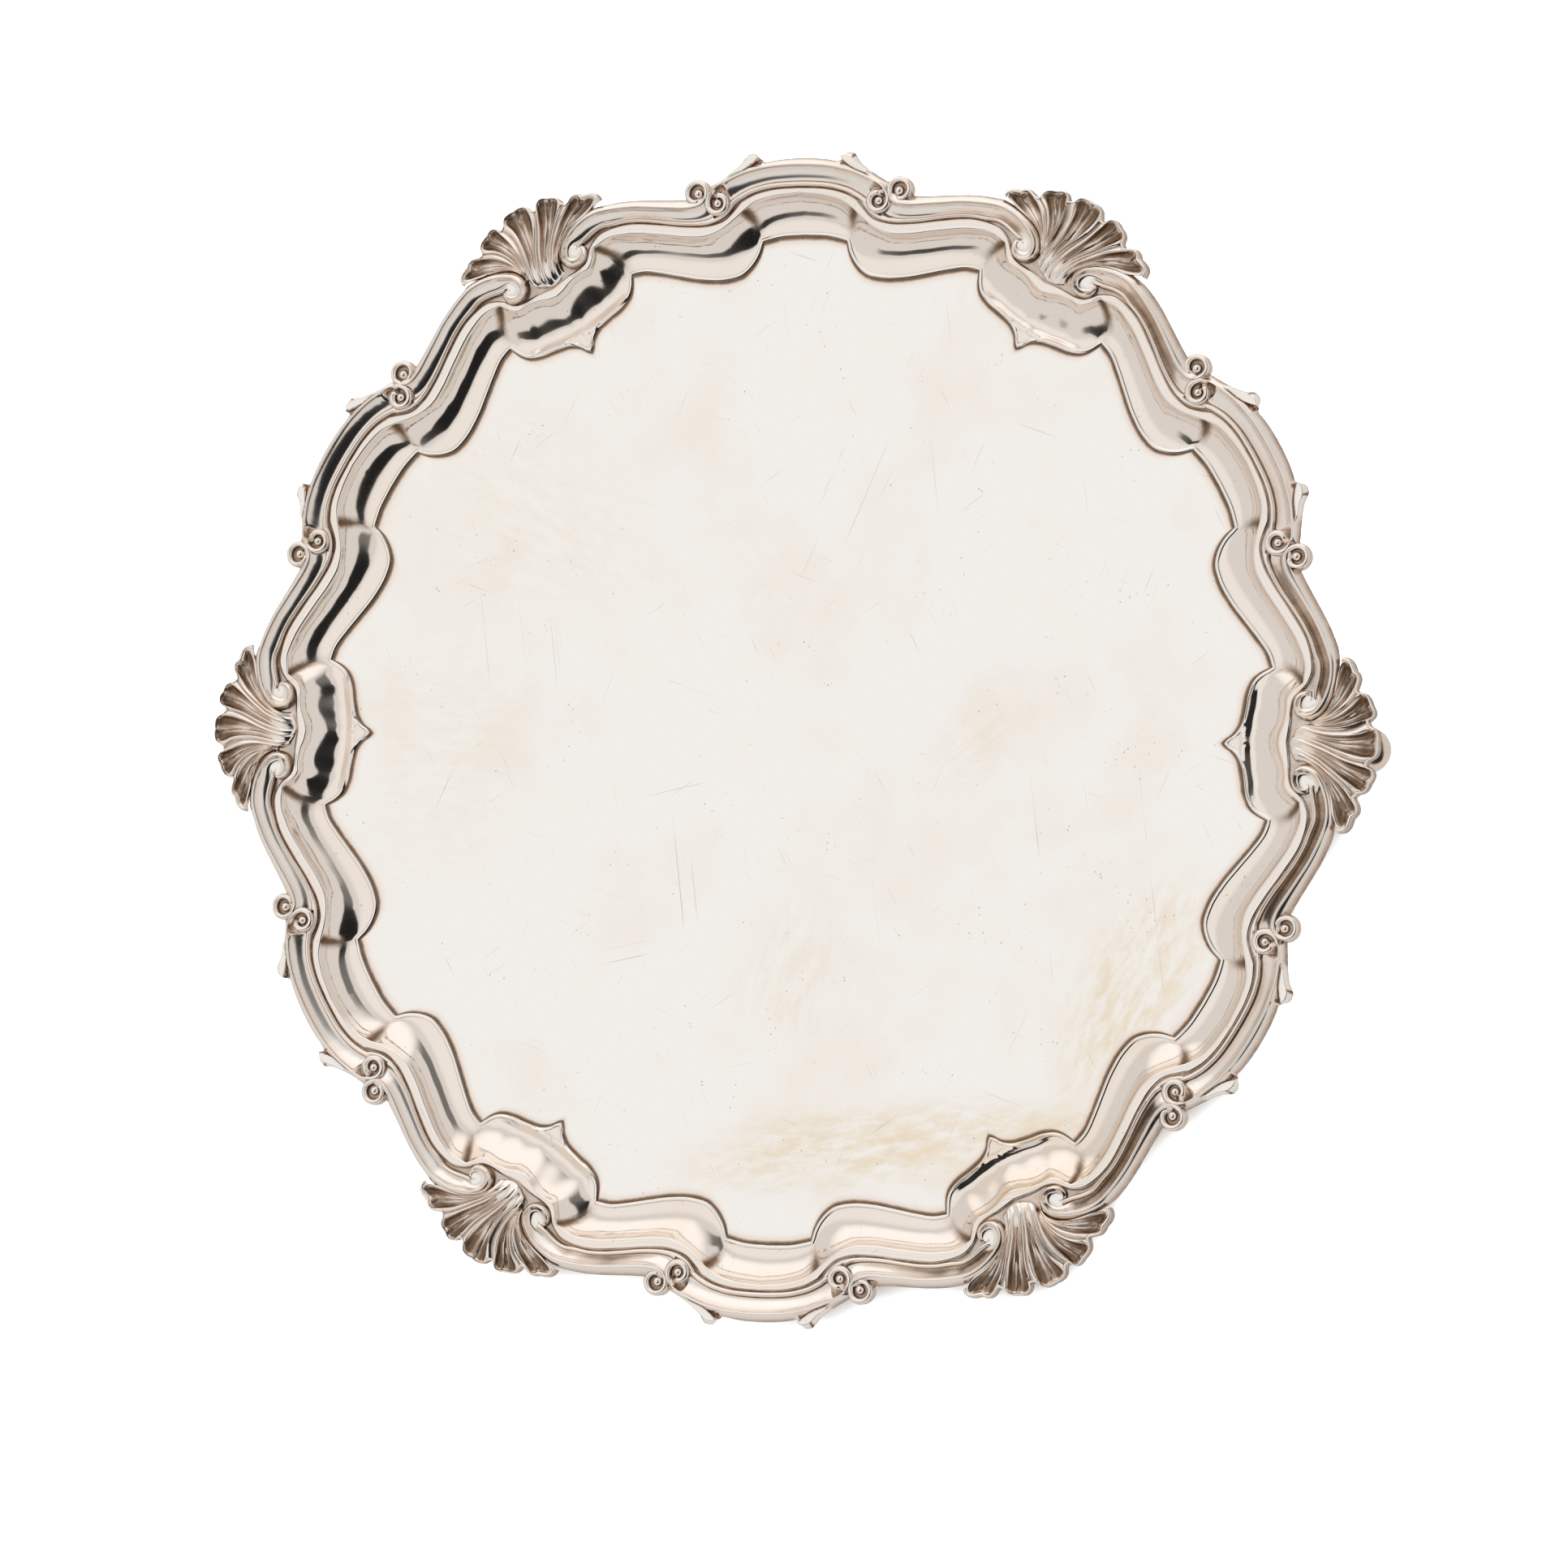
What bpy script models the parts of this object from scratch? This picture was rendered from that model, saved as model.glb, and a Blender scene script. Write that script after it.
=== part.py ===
"""A shaped silver salver: a raised sheet tray, a cast shell-and-scroll border and three cast feet.

The salver lies on its feet, its axis on Z. Its border repeats in six sectors, with a shell on each
sector's axis and an outward arch between two shells. Outline points are (degrees from the shell's
axis, share of RADIUS), for half a sector; the other half is its mirror image.
"""

import math

import bmesh
import bpy
from mathutils import Matrix, Vector

# Driving dimensions, in metres
RADIUS = 0.190  # axis to the shells' tips, and the unit of every outline
SHEET = 0.0014  # thickness of the raised sheet
PLATE_HEIGHT = 0.022  # table to the plate's upper face
GAP = 0.0003  # solder gap between two pieces

# Counts
SECTORS = 6
FEET = 3
COLUMNS = (6, 6, 2)  # columns of the tray's mesh along the three stretches of an outline
COVE_RINGS = 3
FINE_STEPS = 60  # for measuring a stretch's length

# Heights above the plate's upper face, as shares of RADIUS
COVE_HEIGHT = 0.0405
STRIP_HEIGHT = 0.0415
FLANGE_HEIGHT = 0.036
BEAD_HEIGHT = 0.0455
REED_HEIGHT = 0.0515
LIP_HEIGHT = 0.030
BASE_HEIGHT = FLANGE_HEIGHT + GAP / RADIUS

# Outlines: bracket at the shell, ogee beside it, arch. Stretches meet in corners.
PLATE_LINE = (
    ((0, 0.7365), (1, 0.752), (2, 0.7625), (4, 0.771), (6, 0.778), (7.6, 0.792), (8.57, 0.8215)),
    (
        (8.57, 0.8215), (10, 0.8175), (14, 0.7905), (17, 0.773),
        (20, 0.765), (22, 0.768), (23.5, 0.782), (25, 0.8195),
    ),
    ((25, 0.8195), (27, 0.824), (30, 0.8255)),
)
COVE_LINE = (
    ((0, 0.836), (2, 0.845), (4, 0.850), (5.4, 0.860), (6.2, 0.879)),
    (
        (6.2, 0.879), (8, 0.8845), (10, 0.879), (14, 0.857),
        (17, 0.841), (19, 0.836), (21, 0.842), (23.7, 0.867),
    ),
    ((23.7, 0.867), (25, 0.879), (27, 0.886), (30, 0.890)),
)
GROOVE_LINE = (
    ((0, 0.850), (2, 0.8535), (4, 0.855), (5, 0.861), (6.2, 0.8895)),
    (
        (6.2, 0.8895), (8, 0.8985), (10, 0.8965), (14, 0.876),
        (17, 0.860), (19.5, 0.853), (21.5, 0.858), (23.5, 0.884),
    ),
    ((23.5, 0.884), (25, 0.893), (27, 0.8985), (30, 0.900)),
)
FLANGE_LINE = (
    ((0, 0.944), (4, 0.936), (7, 0.928)),
    (
        (7, 0.928), (9, 0.922), (12, 0.914), (16, 0.896),
        (18, 0.888), (20, 0.891), (21.5, 0.901), (23.5, 0.916),
    ),
    ((23.5, 0.916), (25, 0.929), (27, 0.935), (30, 0.937)),
)
CREASE_BEND = 2.3  # how late the cove's creases turn towards the cove's top corners
COVE_ROUNDNESS = 0.93  # share of a quarter circle that the cove's section takes
STEP_WIDTH = 0.0015  # step down from the strip to the flange

# The border's section: how far each corner lies from the bead, the reed or the edge
BEAD_TOP = 0.002
HOLLOW_START = 0.009
HOLLOW_END = 0.007
HOLLOW_DEPTH = 0.0045
LIP_BACK = 0.001
LIP_WIDTH = 0.011
LIP_THICKNESS = 0.003

# Border mouldings: inner bead, crest of the outer reed and outer edge
SCROLL_BEAD = (
    (3.2, 0.884), (4.7, 0.887), (6, 0.8965), (8, 0.903),
    (10, 0.901), (14, 0.880), (17, 0.864), (19.5, 0.858),
)
SCROLL_REED = (
    (3.2, 0.904), (4, 0.917), (6, 0.929), (8, 0.930),
    (10, 0.925), (14, 0.905), (17, 0.8905), (19.5, 0.892),
)
SCROLL_EDGE = ((8.9, 0.941), (12, 0.930), (15, 0.915), (17.5, 0.906), (19.5, 0.905))
SCROLL_STATIONS = 10
ARCH_BEAD = ((21.2, 0.874), (22.3, 0.882), (24, 0.895), (26, 0.902), (30, 0.9055))
ARCH_REED = ((21.2, 0.9125), (23, 0.924), (25, 0.9315), (27, 0.9355), (30, 0.937))
ARCH_EDGE = (
    (21.2, 0.924), (23, 0.937), (24.6, 0.958), (25.05, 0.962),
    (25.6, 0.954), (26.4, 0.9465), (30, 0.950),
)
ARCH_ANGLES = (21.2, 22.6, 24.0, 25.05, 26.2, 28, 30)

# Volutes: (degrees, share of RADIUS) of the centre, and radius
CURL = ((3.9, 0.877), 0.0174)
OUTER_VOLUTE = ((18.92, 0.915), 0.0200)
INNER_VOLUTE = ((20.96, 0.8858), 0.0195)
VOLUTE_SIDES = 10
VOLUTE_HOLLOW = 0.62  # share of the radius where the hollow lies, and below it the middle bead's
VOLUTE_BEAD = 0.36
VOLUTE_DEPTH = 0.003

# Shell: five lobes with ridges between them. It laps over the sheet's edge from SHELL_OVERLAP outwards.
SHELL_BASE = ((0, 0.862), (2.4, 0.867))
SHELL_BEND = ((0, 0.932), (2.7, 0.958))
SHELL_EDGE = (
    (0, 1.003), (1.2, 0.998), (1.8, 0.983), (2.6, 0.986), (3.9, 0.985), (4.7, 0.976),
    (5.0, 0.967), (5.7, 0.969), (7.0, 0.964), (8.1, 0.952), (8.6, 0.941),
)
SHELL_SIDE_STATIONS = 10
SHELL_ROWS = (0, 0.2, 0.45, 0.7, 0.92, 1)
SHELL_ROW_HEIGHTS = (0.046, 0.053, 0.057, 0.054, 0.048, 0.036)
SHELL_RIDGES = (1.8, 5.0)
RIDGE_HEIGHT = 0.004
RIDGE_WIDTH = 0.9  # degrees
SHELL_SAG = 0.004  # how much lower its sides lie than its middle
SHELL_OVERLAP = 0.7
SHELL_LAP_DEPTH = 0.009

# Feet: the leg's stations are (distance from the axis, height above the table, half depth, half width)
FOOT_STATIONS = (
    (0.1700, 0.0268, 0.0060, 0.0095),
    (0.1712, 0.0225, 0.0052, 0.0082),
    (0.1735, 0.0165, 0.0040, 0.0058),
    (0.1748, 0.0100, 0.0034, 0.0042),
    (0.1778, 0.0058, 0.0046, 0.0050),
    (0.1802, 0.0034, 0.0062, 0.0064),
    (0.1805, 0.0012, 0.0064, 0.0066),
    (0.1805, 0.0000, 0.0056, 0.0058),
)
FOOT_SIDES = 12

COLLECTION = "silver_salver"
SILVER = (0.83, 0.81, 0.78, 1.0)


def clear_scene():
    for thing in list(bpy.data.objects):
        bpy.data.objects.remove(thing, do_unlink=True)


def material(name, colour, roughness):
    made = bpy.data.materials.new(name)
    made.use_nodes = True
    made.diffuse_color = colour
    shader = made.node_tree.nodes["Principled BSDF"]
    shader.inputs["Base Color"].default_value = colour
    shader.inputs["Metallic"].default_value = 1.0
    shader.inputs["Roughness"].default_value = roughness
    return made


def value_at(points, x):
    """The smooth curve through points, as a function of their first number."""
    at = max(i for i in range(len(points) - 1) if i == 0 or points[i][0] <= x)
    (x0, y0), (x1, y1) = points[at], points[at + 1]
    before = points[max(at - 1, 0)]
    after = points[min(at + 2, len(points) - 1)]
    slope0 = (y1 - before[1]) / (x1 - before[0])
    slope1 = (after[1] - y0) / (after[0] - x0)
    t = (x - x0) / (x1 - x0)
    step = x1 - x0
    return (
        (2 * t**3 - 3 * t**2 + 1) * y0
        + (t**3 - 2 * t**2 + t) * step * slope0
        + (3 * t**2 - 2 * t**3) * y1
        + (t**3 - t**2) * step * slope1
    )


def stretch_points(stretch, count):
    """count points along a stretch, evenly spaced on its curve, without its last point."""
    first, last = stretch[0][0], stretch[-1][0]
    angles = [first + (last - first) * i / FINE_STEPS for i in range(FINE_STEPS + 1)]
    places = [(angle, value_at(stretch, angle)) for angle in angles]
    lengths = [0.0]
    for a, b in zip(places, places[1:]):
        lengths.append(lengths[-1] + (flat(a) - flat(b)).length)
    chosen = []
    for i in range(count):
        wanted = lengths[-1] * i / count
        nearest = min(range(len(places)), key=lambda j: abs(lengths[j] - wanted))
        chosen.append(places[nearest])
    return chosen


def flat(place):
    """(degrees, share of RADIUS) to a point in the plane, in metres."""
    angle, radius = math.radians(place[0]), place[1] * RADIUS
    return Vector((radius * math.cos(angle), radius * math.sin(angle)))


def solid_point(angle, radius, height):
    x, y = flat((angle, radius))
    return Vector((x, y, height * RADIUS))


def half_outline(outline):
    points = []
    for stretch, count in zip(outline, COLUMNS):
        points += stretch_points(stretch, count)
    return points + [outline[-1][-1]]


def whole_ring(half, height):
    """The closed ring of a half sector's outline, mirrored and repeated round the axis."""
    sector = [(-angle, radius) for angle, radius in reversed(half[1:])] + half[:-1]
    ring = []
    for k in range(SECTORS):
        turn = 360 / SECTORS * k
        ring += [solid_point(angle + turn, radius, height) for angle, radius in sector]
    return ring


def blended(first, last, share):
    """The outline between two others. The creases keep to the first one's corners for longer."""
    turn = share**CREASE_BEND
    return [
        (a[0] + (b[0] - a[0]) * turn, a[1] + (b[1] - a[1]) * share) for a, b in zip(first, last)
    ]


def mesh_from_rings(name, rings, capped, flat_caps=True):
    """A mesh lofted through rings of points, each ring joined to the next, with the capped rings closed.

    A flat cap is one face. Any other cap is a strip between the ring's first half and its second.
    """
    bm = bmesh.new()
    rows = [[bm.verts.new(point) for point in ring] for ring in rings]
    count = len(rings[0])
    for inner, outer in zip(rows, rows[1:]):
        for i in range(count):
            j = (i + 1) % count
            bm.faces.new((inner[i], outer[i], outer[j], inner[j]))
    for row in [rows[at] for at in capped]:
        if flat_caps:
            bm.faces.new(row)
            continue
        for i in range(count // 2 - 1):
            bm.faces.new((row[i], row[i + 1], row[-i - 2], row[-i - 1]))
    bmesh.ops.recalc_face_normals(bm, faces=bm.faces)
    mesh = bpy.data.meshes.new(name)
    bm.to_mesh(mesh)
    bm.free()
    return mesh


def add_object(name, mesh, turn=0.0, finish=None, height=PLATE_HEIGHT):
    """A named object on the axis at the plate's height, turned round it by some degrees."""
    made = bpy.data.objects.new(name, mesh)
    made.location.z = height
    made.rotation_euler.z = math.radians(turn)
    collection.objects.link(made)
    if finish:
        mesh.materials.clear()
        mesh.materials.append(finish)
    return made


def united(mesh, others):
    """One mesh that joins a mesh with others that overlap it."""
    base = bpy.data.objects.new("joined", mesh)
    collection.objects.link(base)
    helpers = []
    for other in others:
        helper = bpy.data.objects.new("helper", other)
        collection.objects.link(helper)
        helpers.append(helper)
        join = base.modifiers.new("join", "BOOLEAN")
        join.operation = "UNION"
        join.solver = "EXACT"
        join.object = helper
    bpy.context.view_layer.update()
    evaluated = base.evaluated_get(bpy.context.evaluated_depsgraph_get())
    joined = bpy.data.meshes.new_from_object(evaluated)
    for thing in helpers + [base]:
        bpy.data.objects.remove(thing, do_unlink=True)
    return joined


def mirrored(mesh, name):
    """The mesh's mirror image across the shell's axis."""
    bm = bmesh.new()
    bm.from_mesh(mesh)
    bmesh.ops.transform(bm, matrix=Matrix.Scale(-1, 4, Vector((0, 1, 0))), verts=bm.verts)
    bmesh.ops.reverse_faces(bm, faces=bm.faces)
    copy = bpy.data.meshes.new(name)
    bm.to_mesh(copy)
    bm.free()
    return copy


def shade(mesh, degrees=32):
    mesh.shade_smooth()
    mesh.set_sharp_from_angle(angle=math.radians(degrees))


def tray_mesh():
    """The sheet's upper surface: plate, cove, strip, step down and flange."""
    plate = half_outline(PLATE_LINE)
    cove_top = half_outline(COVE_LINE)
    groove = half_outline(GROOVE_LINE)
    flange = half_outline(FLANGE_LINE)
    step = [(angle, radius + STEP_WIDTH) for angle, radius in groove]
    rings = []
    for i in range(COVE_RINGS + 1):
        share = i / COVE_RINGS
        rise = 1 - math.sqrt(1 - (COVE_ROUNDNESS * share) ** 2)
        rise /= 1 - math.sqrt(1 - COVE_ROUNDNESS**2)
        rings.append(whole_ring(blended(plate, cove_top, share), rise * COVE_HEIGHT))
    rings.append(whole_ring(groove, STRIP_HEIGHT))
    rings.append(whole_ring(step, FLANGE_HEIGHT))
    rings.append(whole_ring(flange, FLANGE_HEIGHT))
    return mesh_from_rings("tray_body", rings, capped=(0,))


def build_tray():
    mesh = tray_mesh()
    bm = bmesh.new()
    bm.from_mesh(mesh)
    plate = max(bm.faces, key=lambda face: face.calc_area())
    if plate.normal.z < 0:
        bmesh.ops.reverse_faces(bm, faces=bm.faces)
    bm.to_mesh(mesh)
    bm.free()
    shade(mesh)
    tray = add_object("tray_body", mesh, finish=material("tray_silver", SILVER, 0.16))
    wall = tray.modifiers.new("sheet", "SOLIDIFY")
    wall.thickness = SHEET
    wall.offset = -1


def moulding_section(angle, bead, reed, edge, lip):
    """The border's section: inner bead, hollow, outer reed and the lip that laps over the sheet."""
    outline = (
        (bead, BASE_HEIGHT),
        (bead + BEAD_TOP, BEAD_HEIGHT),
        (bead + HOLLOW_START, BEAD_HEIGHT - HOLLOW_DEPTH),
        (reed - HOLLOW_END, REED_HEIGHT - HOLLOW_DEPTH),
        (reed, REED_HEIGHT),
        (edge, lip + LIP_THICKNESS),
        (edge - LIP_BACK, lip),
        (max(reed - LIP_WIDTH, edge - LIP_WIDTH), max(lip, BASE_HEIGHT)),
    )
    return [solid_point(angle, radius, height) for radius, height in outline]


def volute_mesh(centre, radius):
    """A round boss with a raised rim and a bead in its middle, turned about its own axis."""
    middle = flat(centre)
    size = radius * RADIUS
    profile = (
        (size, BASE_HEIGHT),
        (size, BEAD_HEIGHT),
        (size * VOLUTE_HOLLOW, BEAD_HEIGHT - VOLUTE_DEPTH),
        (size * VOLUTE_BEAD, BEAD_HEIGHT + VOLUTE_DEPTH),
    )
    rings = []
    for reach, height in profile:
        ring = []
        for i in range(VOLUTE_SIDES):
            angle = math.tau * i / VOLUTE_SIDES
            x = middle.x + reach * math.cos(angle)
            y = middle.y + reach * math.sin(angle)
            ring.append(Vector((x, y, height * RADIUS)))
        rings.append(ring)
    return mesh_from_rings("volute", rings, capped=(0, -1))


def scroll_mesh():
    """The S-scroll on the shell's counter-clockwise side, with its curl and outer volute."""
    first, last = SCROLL_REED[0][0], SCROLL_REED[-1][0]
    open_from = SCROLL_EDGE[0][0]
    sections = []
    for i in range(SCROLL_STATIONS + 1):
        angle = first + (last - first) * i / SCROLL_STATIONS
        bead, reed = value_at(SCROLL_BEAD, angle), value_at(SCROLL_REED, angle)
        if angle < open_from:
            edge, lip = reed + 0.003, BASE_HEIGHT
        else:
            edge, lip = value_at(SCROLL_EDGE, angle), LIP_HEIGHT
        sections.append(moulding_section(angle, bead, reed, edge, lip))
    band = mesh_from_rings("band", sections, capped=(0, -1))
    volutes = [volute_mesh(*CURL), volute_mesh(*OUTER_VOLUTE)]
    return united(band, volutes)


def build_scrolls():
    right = scroll_mesh()
    left = mirrored(right, "scroll_left")
    for side, mesh in (("right", left), ("left", right)):
        shade(mesh)
        finish = material(f"scroll_{side}_silver", SILVER, 0.2)
        for k in range(SECTORS):
            add_object(f"scroll_{side}_{k + 1}", mesh, 360 / SECTORS * k, finish)


def arch_mesh():
    """The arch beyond a shell, mirrored about its own middle, with a volute at each end."""
    middle = 180 / SECTORS
    angles = list(ARCH_ANGLES) + [2 * middle - angle for angle in reversed(ARCH_ANGLES[:-1])]
    sections = []
    for angle in angles:
        own = min(angle, 2 * middle - angle)
        bead, reed = value_at(ARCH_BEAD, own), value_at(ARCH_REED, own)
        sections.append(moulding_section(angle, bead, reed, value_at(ARCH_EDGE, own), LIP_HEIGHT))
    band = mesh_from_rings("band", sections, capped=(0, -1))
    (angle, distance), radius = INNER_VOLUTE
    volutes = [
        volute_mesh((angle, distance), radius),
        volute_mesh((2 * middle - angle, distance), radius),
    ]
    return united(band, volutes)


def build_arches():
    mesh = arch_mesh()
    shade(mesh)
    finish = material("arch_silver", SILVER, 0.2)
    for k in range(SECTORS):
        add_object(f"arch_{k + 1}", mesh, 360 / SECTORS * k, finish)


def shell_place(side, share):
    """A point of the shell in the plane: side runs from -1 to 1 across it, share from base to edge."""
    reach = abs(side)
    sign = 1 if side >= 0 else -1
    widest = SHELL_EDGE[-1][0]
    edge = (widest * reach, value_at(SHELL_EDGE, widest * reach))
    ends = []
    for centre, outside in (SHELL_BASE, SHELL_BEND):
        angle = centre[0] + (outside[0] - centre[0]) * reach
        radius = centre[1] + (outside[1] - centre[1]) * reach
        ends.append(flat((sign * angle, radius)))
    base, bend = ends
    tip = flat((sign * edge[0], edge[1]))
    return base * (1 - share) ** 2 + bend * 2 * share * (1 - share) + tip * share**2


def shell_mesh():
    """A fan lofted row by row from base to edge, hollowed between ridges, with a flat underside."""
    widest = SHELL_EDGE[-1][0]
    half = [angle / widest for angle, _ in SHELL_EDGE]
    sides = [-side for side in reversed(half[1:])] + half
    rings = []
    for share, height in zip(SHELL_ROWS, SHELL_ROW_HEIGHTS):
        upper = []
        for side in sides:
            angle = abs(side) * widest
            near = min(abs(angle - ridge) for ridge in SHELL_RIDGES)
            swell = math.sin(math.pi * share)
            lift = RIDGE_HEIGHT * max(0.0, 1 - near / RIDGE_WIDTH) * swell
            sag = SHELL_SAG * side**2 * share
            place = shell_place(side, share)
            upper.append(Vector((place.x, place.y, (height + lift - sag) * RADIUS)))
        lap = max(0.0, share - SHELL_OVERLAP) / (1 - SHELL_OVERLAP)
        floor = (BASE_HEIGHT - SHELL_LAP_DEPTH * lap) * RADIUS
        lower = [Vector((point.x, point.y, floor)) for point in upper]
        rings.append(upper + list(reversed(lower)))
    return mesh_from_rings("shell", rings, capped=(0, -1), flat_caps=False)


def build_shells():
    mesh = shell_mesh()
    shade(mesh)
    finish = material("shell_silver", SILVER, 0.22)
    for k in range(SECTORS):
        add_object(f"shell_{k + 1}", mesh, 360 / SECTORS * k, finish)


def foot_mesh():
    """A cabriole leg that swells into a round pad, lofted through level oval sections."""
    rings = []
    for distance, height, depth, width in FOOT_STATIONS:
        ring = []
        for i in range(FOOT_SIDES):
            angle = math.tau * i / FOOT_SIDES
            x = distance + depth * math.cos(angle)
            y = width * math.sin(angle)
            ring.append(Vector((x, y, height)))
        rings.append(ring)
    return mesh_from_rings("foot", rings, capped=(0, -1))


def build_feet():
    mesh = foot_mesh()
    shade(mesh, 50)
    finish = material("foot_silver", SILVER, 0.2)
    for k in range(FEET):
        add_object(f"foot_{k + 1}", mesh, 360 / FEET * k, finish, height=0.0)


clear_scene()
collection = bpy.data.collections.new(COLLECTION)
bpy.context.scene.collection.children.link(collection)
build_tray()
build_shells()
build_arches()
build_scrolls()
build_feet()
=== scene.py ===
"""The silver salver's looks: fine meshes for its pieces, tarnished silver and studio light.

Plan outlines are in shares of RADIUS, in a sector's own frame: x outwards along the shell's axis, y
counter-clockwise. Heights are shares of RADIUS above the plate's upper face.
"""

import math

import bmesh
import bpy
import numpy as np
from mathutils import Matrix, Vector


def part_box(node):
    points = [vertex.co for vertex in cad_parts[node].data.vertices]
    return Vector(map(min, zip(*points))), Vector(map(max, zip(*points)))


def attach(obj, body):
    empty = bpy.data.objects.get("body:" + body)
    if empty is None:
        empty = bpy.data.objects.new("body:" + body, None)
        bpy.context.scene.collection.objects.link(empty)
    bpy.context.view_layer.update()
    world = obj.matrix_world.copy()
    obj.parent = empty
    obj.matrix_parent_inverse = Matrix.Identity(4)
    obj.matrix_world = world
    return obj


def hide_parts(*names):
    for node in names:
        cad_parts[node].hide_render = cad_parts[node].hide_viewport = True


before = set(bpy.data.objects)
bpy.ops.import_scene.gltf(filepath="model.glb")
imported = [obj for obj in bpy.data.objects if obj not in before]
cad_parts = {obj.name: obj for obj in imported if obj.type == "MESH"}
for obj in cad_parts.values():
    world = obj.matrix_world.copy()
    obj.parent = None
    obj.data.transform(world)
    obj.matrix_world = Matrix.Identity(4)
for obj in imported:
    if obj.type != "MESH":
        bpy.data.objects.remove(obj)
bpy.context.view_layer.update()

SECTORS = 6
FEET = 3
SHEET = 0.0014  # thickness of the raised sheet, in metres
SHELL_TIP = 1.003  # where the CAD's shells end, in shares of RADIUS
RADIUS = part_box("shell_1")[1][0] / SHELL_TIP
PLATE_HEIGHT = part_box("tray_body")[0][2] + SHEET
BASE = 0.0376  # underside of the border castings
SHARP_ANGLE = 40  # degrees between two faces that make a hard edge
CURVE_SAMPLES = 40  # for each point of a smooth curve, before it is divided evenly
COLLECTION = bpy.data.collections.new("salver_looks")
bpy.context.scene.collection.children.link(COLLECTION)


# ---------------- curves and meshes


def polar(angle, radius):
    return (radius * math.cos(math.radians(angle)), radius * math.sin(math.radians(angle)))


def smooth(points, count):
    """count points evenly spaced along a smooth curve. The first two numbers of a point are its plan."""
    points = np.asarray(points, float)
    steps = np.linalg.norm(np.diff(points[:, :2], axis=0), axis=1)
    knots = np.concatenate([[0.0], np.cumsum(np.maximum(steps, 1e-6))])
    fine = hermite(points, knots, np.linspace(0, knots[-1], CURVE_SAMPLES * len(points)))
    lengths = np.concatenate([[0.0], np.cumsum(np.linalg.norm(np.diff(fine[:, :2], axis=0), axis=1))])
    wanted = np.linspace(0, lengths[-1], count)
    return np.stack([np.interp(wanted, lengths, column) for column in fine.T], axis=1)


def hermite(points, knots, at):
    """The smooth curve through points at their knots, read at other knot values."""
    widths = np.diff(knots)[:, None]
    slopes = np.diff(points, axis=0) / widths
    tangents = np.empty_like(points)
    tangents[0], tangents[-1] = slopes[0], slopes[-1]
    before, after = widths[:-1], widths[1:]
    tangents[1:-1] = (slopes[:-1] * after + slopes[1:] * before) / (before + after)
    index = np.clip(np.searchsorted(knots, at, side="right") - 1, 0, len(knots) - 2)
    width = widths[index]
    t = (at - knots[index])[:, None] / width
    return (
        (2 * t**3 - 3 * t**2 + 1) * points[index]
        + (t**3 - 2 * t**2 + t) * width * tangents[index]
        + (3 * t**2 - 2 * t**3) * points[index + 1]
        + (t**3 - t**2) * width * tangents[index + 1]
    )


def value_at(points, at):
    """Smooth values at some places, through (place, value) points."""
    points = np.asarray(points, float)
    knots = points[:, 0]
    return hermite(points, knots, np.clip(np.asarray(at, float), knots[0], knots[-1]))[:, 1:]


def step(low, high, value):
    """0 below low, 1 above high and a soft rise between them."""
    t = np.clip((np.asarray(value, float) - low) / (high - low), 0, 1)
    return t * t * (3 - 2 * t)


def turned(points, degrees):
    angle = math.radians(degrees)
    cosine, sine = math.cos(angle), math.sin(angle)
    out = points.copy()
    out[..., 0] = points[..., 0] * cosine - points[..., 1] * sine
    out[..., 1] = points[..., 0] * sine + points[..., 1] * cosine
    return out


def grid_faces(rows, columns, start, round_rows, round_columns):
    """Quads between neighbours in a grid of vertices numbered row by row."""
    last_row = rows if round_rows else rows - 1
    last_column = columns if round_columns else columns - 1
    i, j = np.meshgrid(np.arange(last_row), np.arange(last_column), indexing="ij")
    below, beside = (i + 1) % rows, (j + 1) % columns
    quads = np.stack(
        [i * columns + j, below * columns + j, below * columns + beside, i * columns + beside], axis=-1
    )
    return (quads.reshape(-1, 4) + start).tolist()


class Body:
    """Gathers vertices, darkness values (tarnish, with painted shade in places) and faces of one piece."""

    def __init__(self):
        self.points, self.tarnish, self.faces, self.count = [], [], [], 0

    def grid(self, points, tarnish, round_rows=False, round_columns=False, caps=False):
        rows, columns = points.shape[:2]
        tarnish = np.broadcast_to(tarnish, (rows, columns))
        self.faces += grid_faces(rows, columns, self.count, round_rows, round_columns)
        if caps:
            first = self.count + np.arange(columns)
            self.faces += [first[::-1].tolist(), (first + (rows - 1) * columns).tolist()]
        self.points.append(points.reshape(-1, 3))
        self.tarnish.append(tarnish.reshape(-1))
        self.count += rows * columns

    def join(self, other, place):
        """Takes in another body, with place moving its points."""
        self.faces += [[i + self.count for i in face] for face in other.faces]
        self.points += [place(points) for points in other.points]
        self.tarnish += other.tarnish
        self.count += other.count

    def mesh(self, name, mirrored=False):
        points = np.concatenate(self.points) * RADIUS
        points[:, 2] += PLATE_HEIGHT
        if mirrored:
            points[:, 1] *= -1
        made = bpy.data.meshes.new(name)
        made.from_pydata(points.tolist(), [], self.faces)
        layer = made.attributes.new("tarnish", "FLOAT", "POINT")
        layer.data.foreach_set("value", np.concatenate(self.tarnish).astype(np.float32))
        turn_faces_outward(made)
        made.shade_smooth()
        made.set_sharp_from_angle(angle=math.radians(SHARP_ANGLE))
        return made


def turn_faces_outward(mesh):
    bm = bmesh.new()
    bm.from_mesh(mesh)
    bmesh.ops.recalc_face_normals(bm, faces=bm.faces)
    bm.to_mesh(mesh)
    bm.free()


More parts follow.
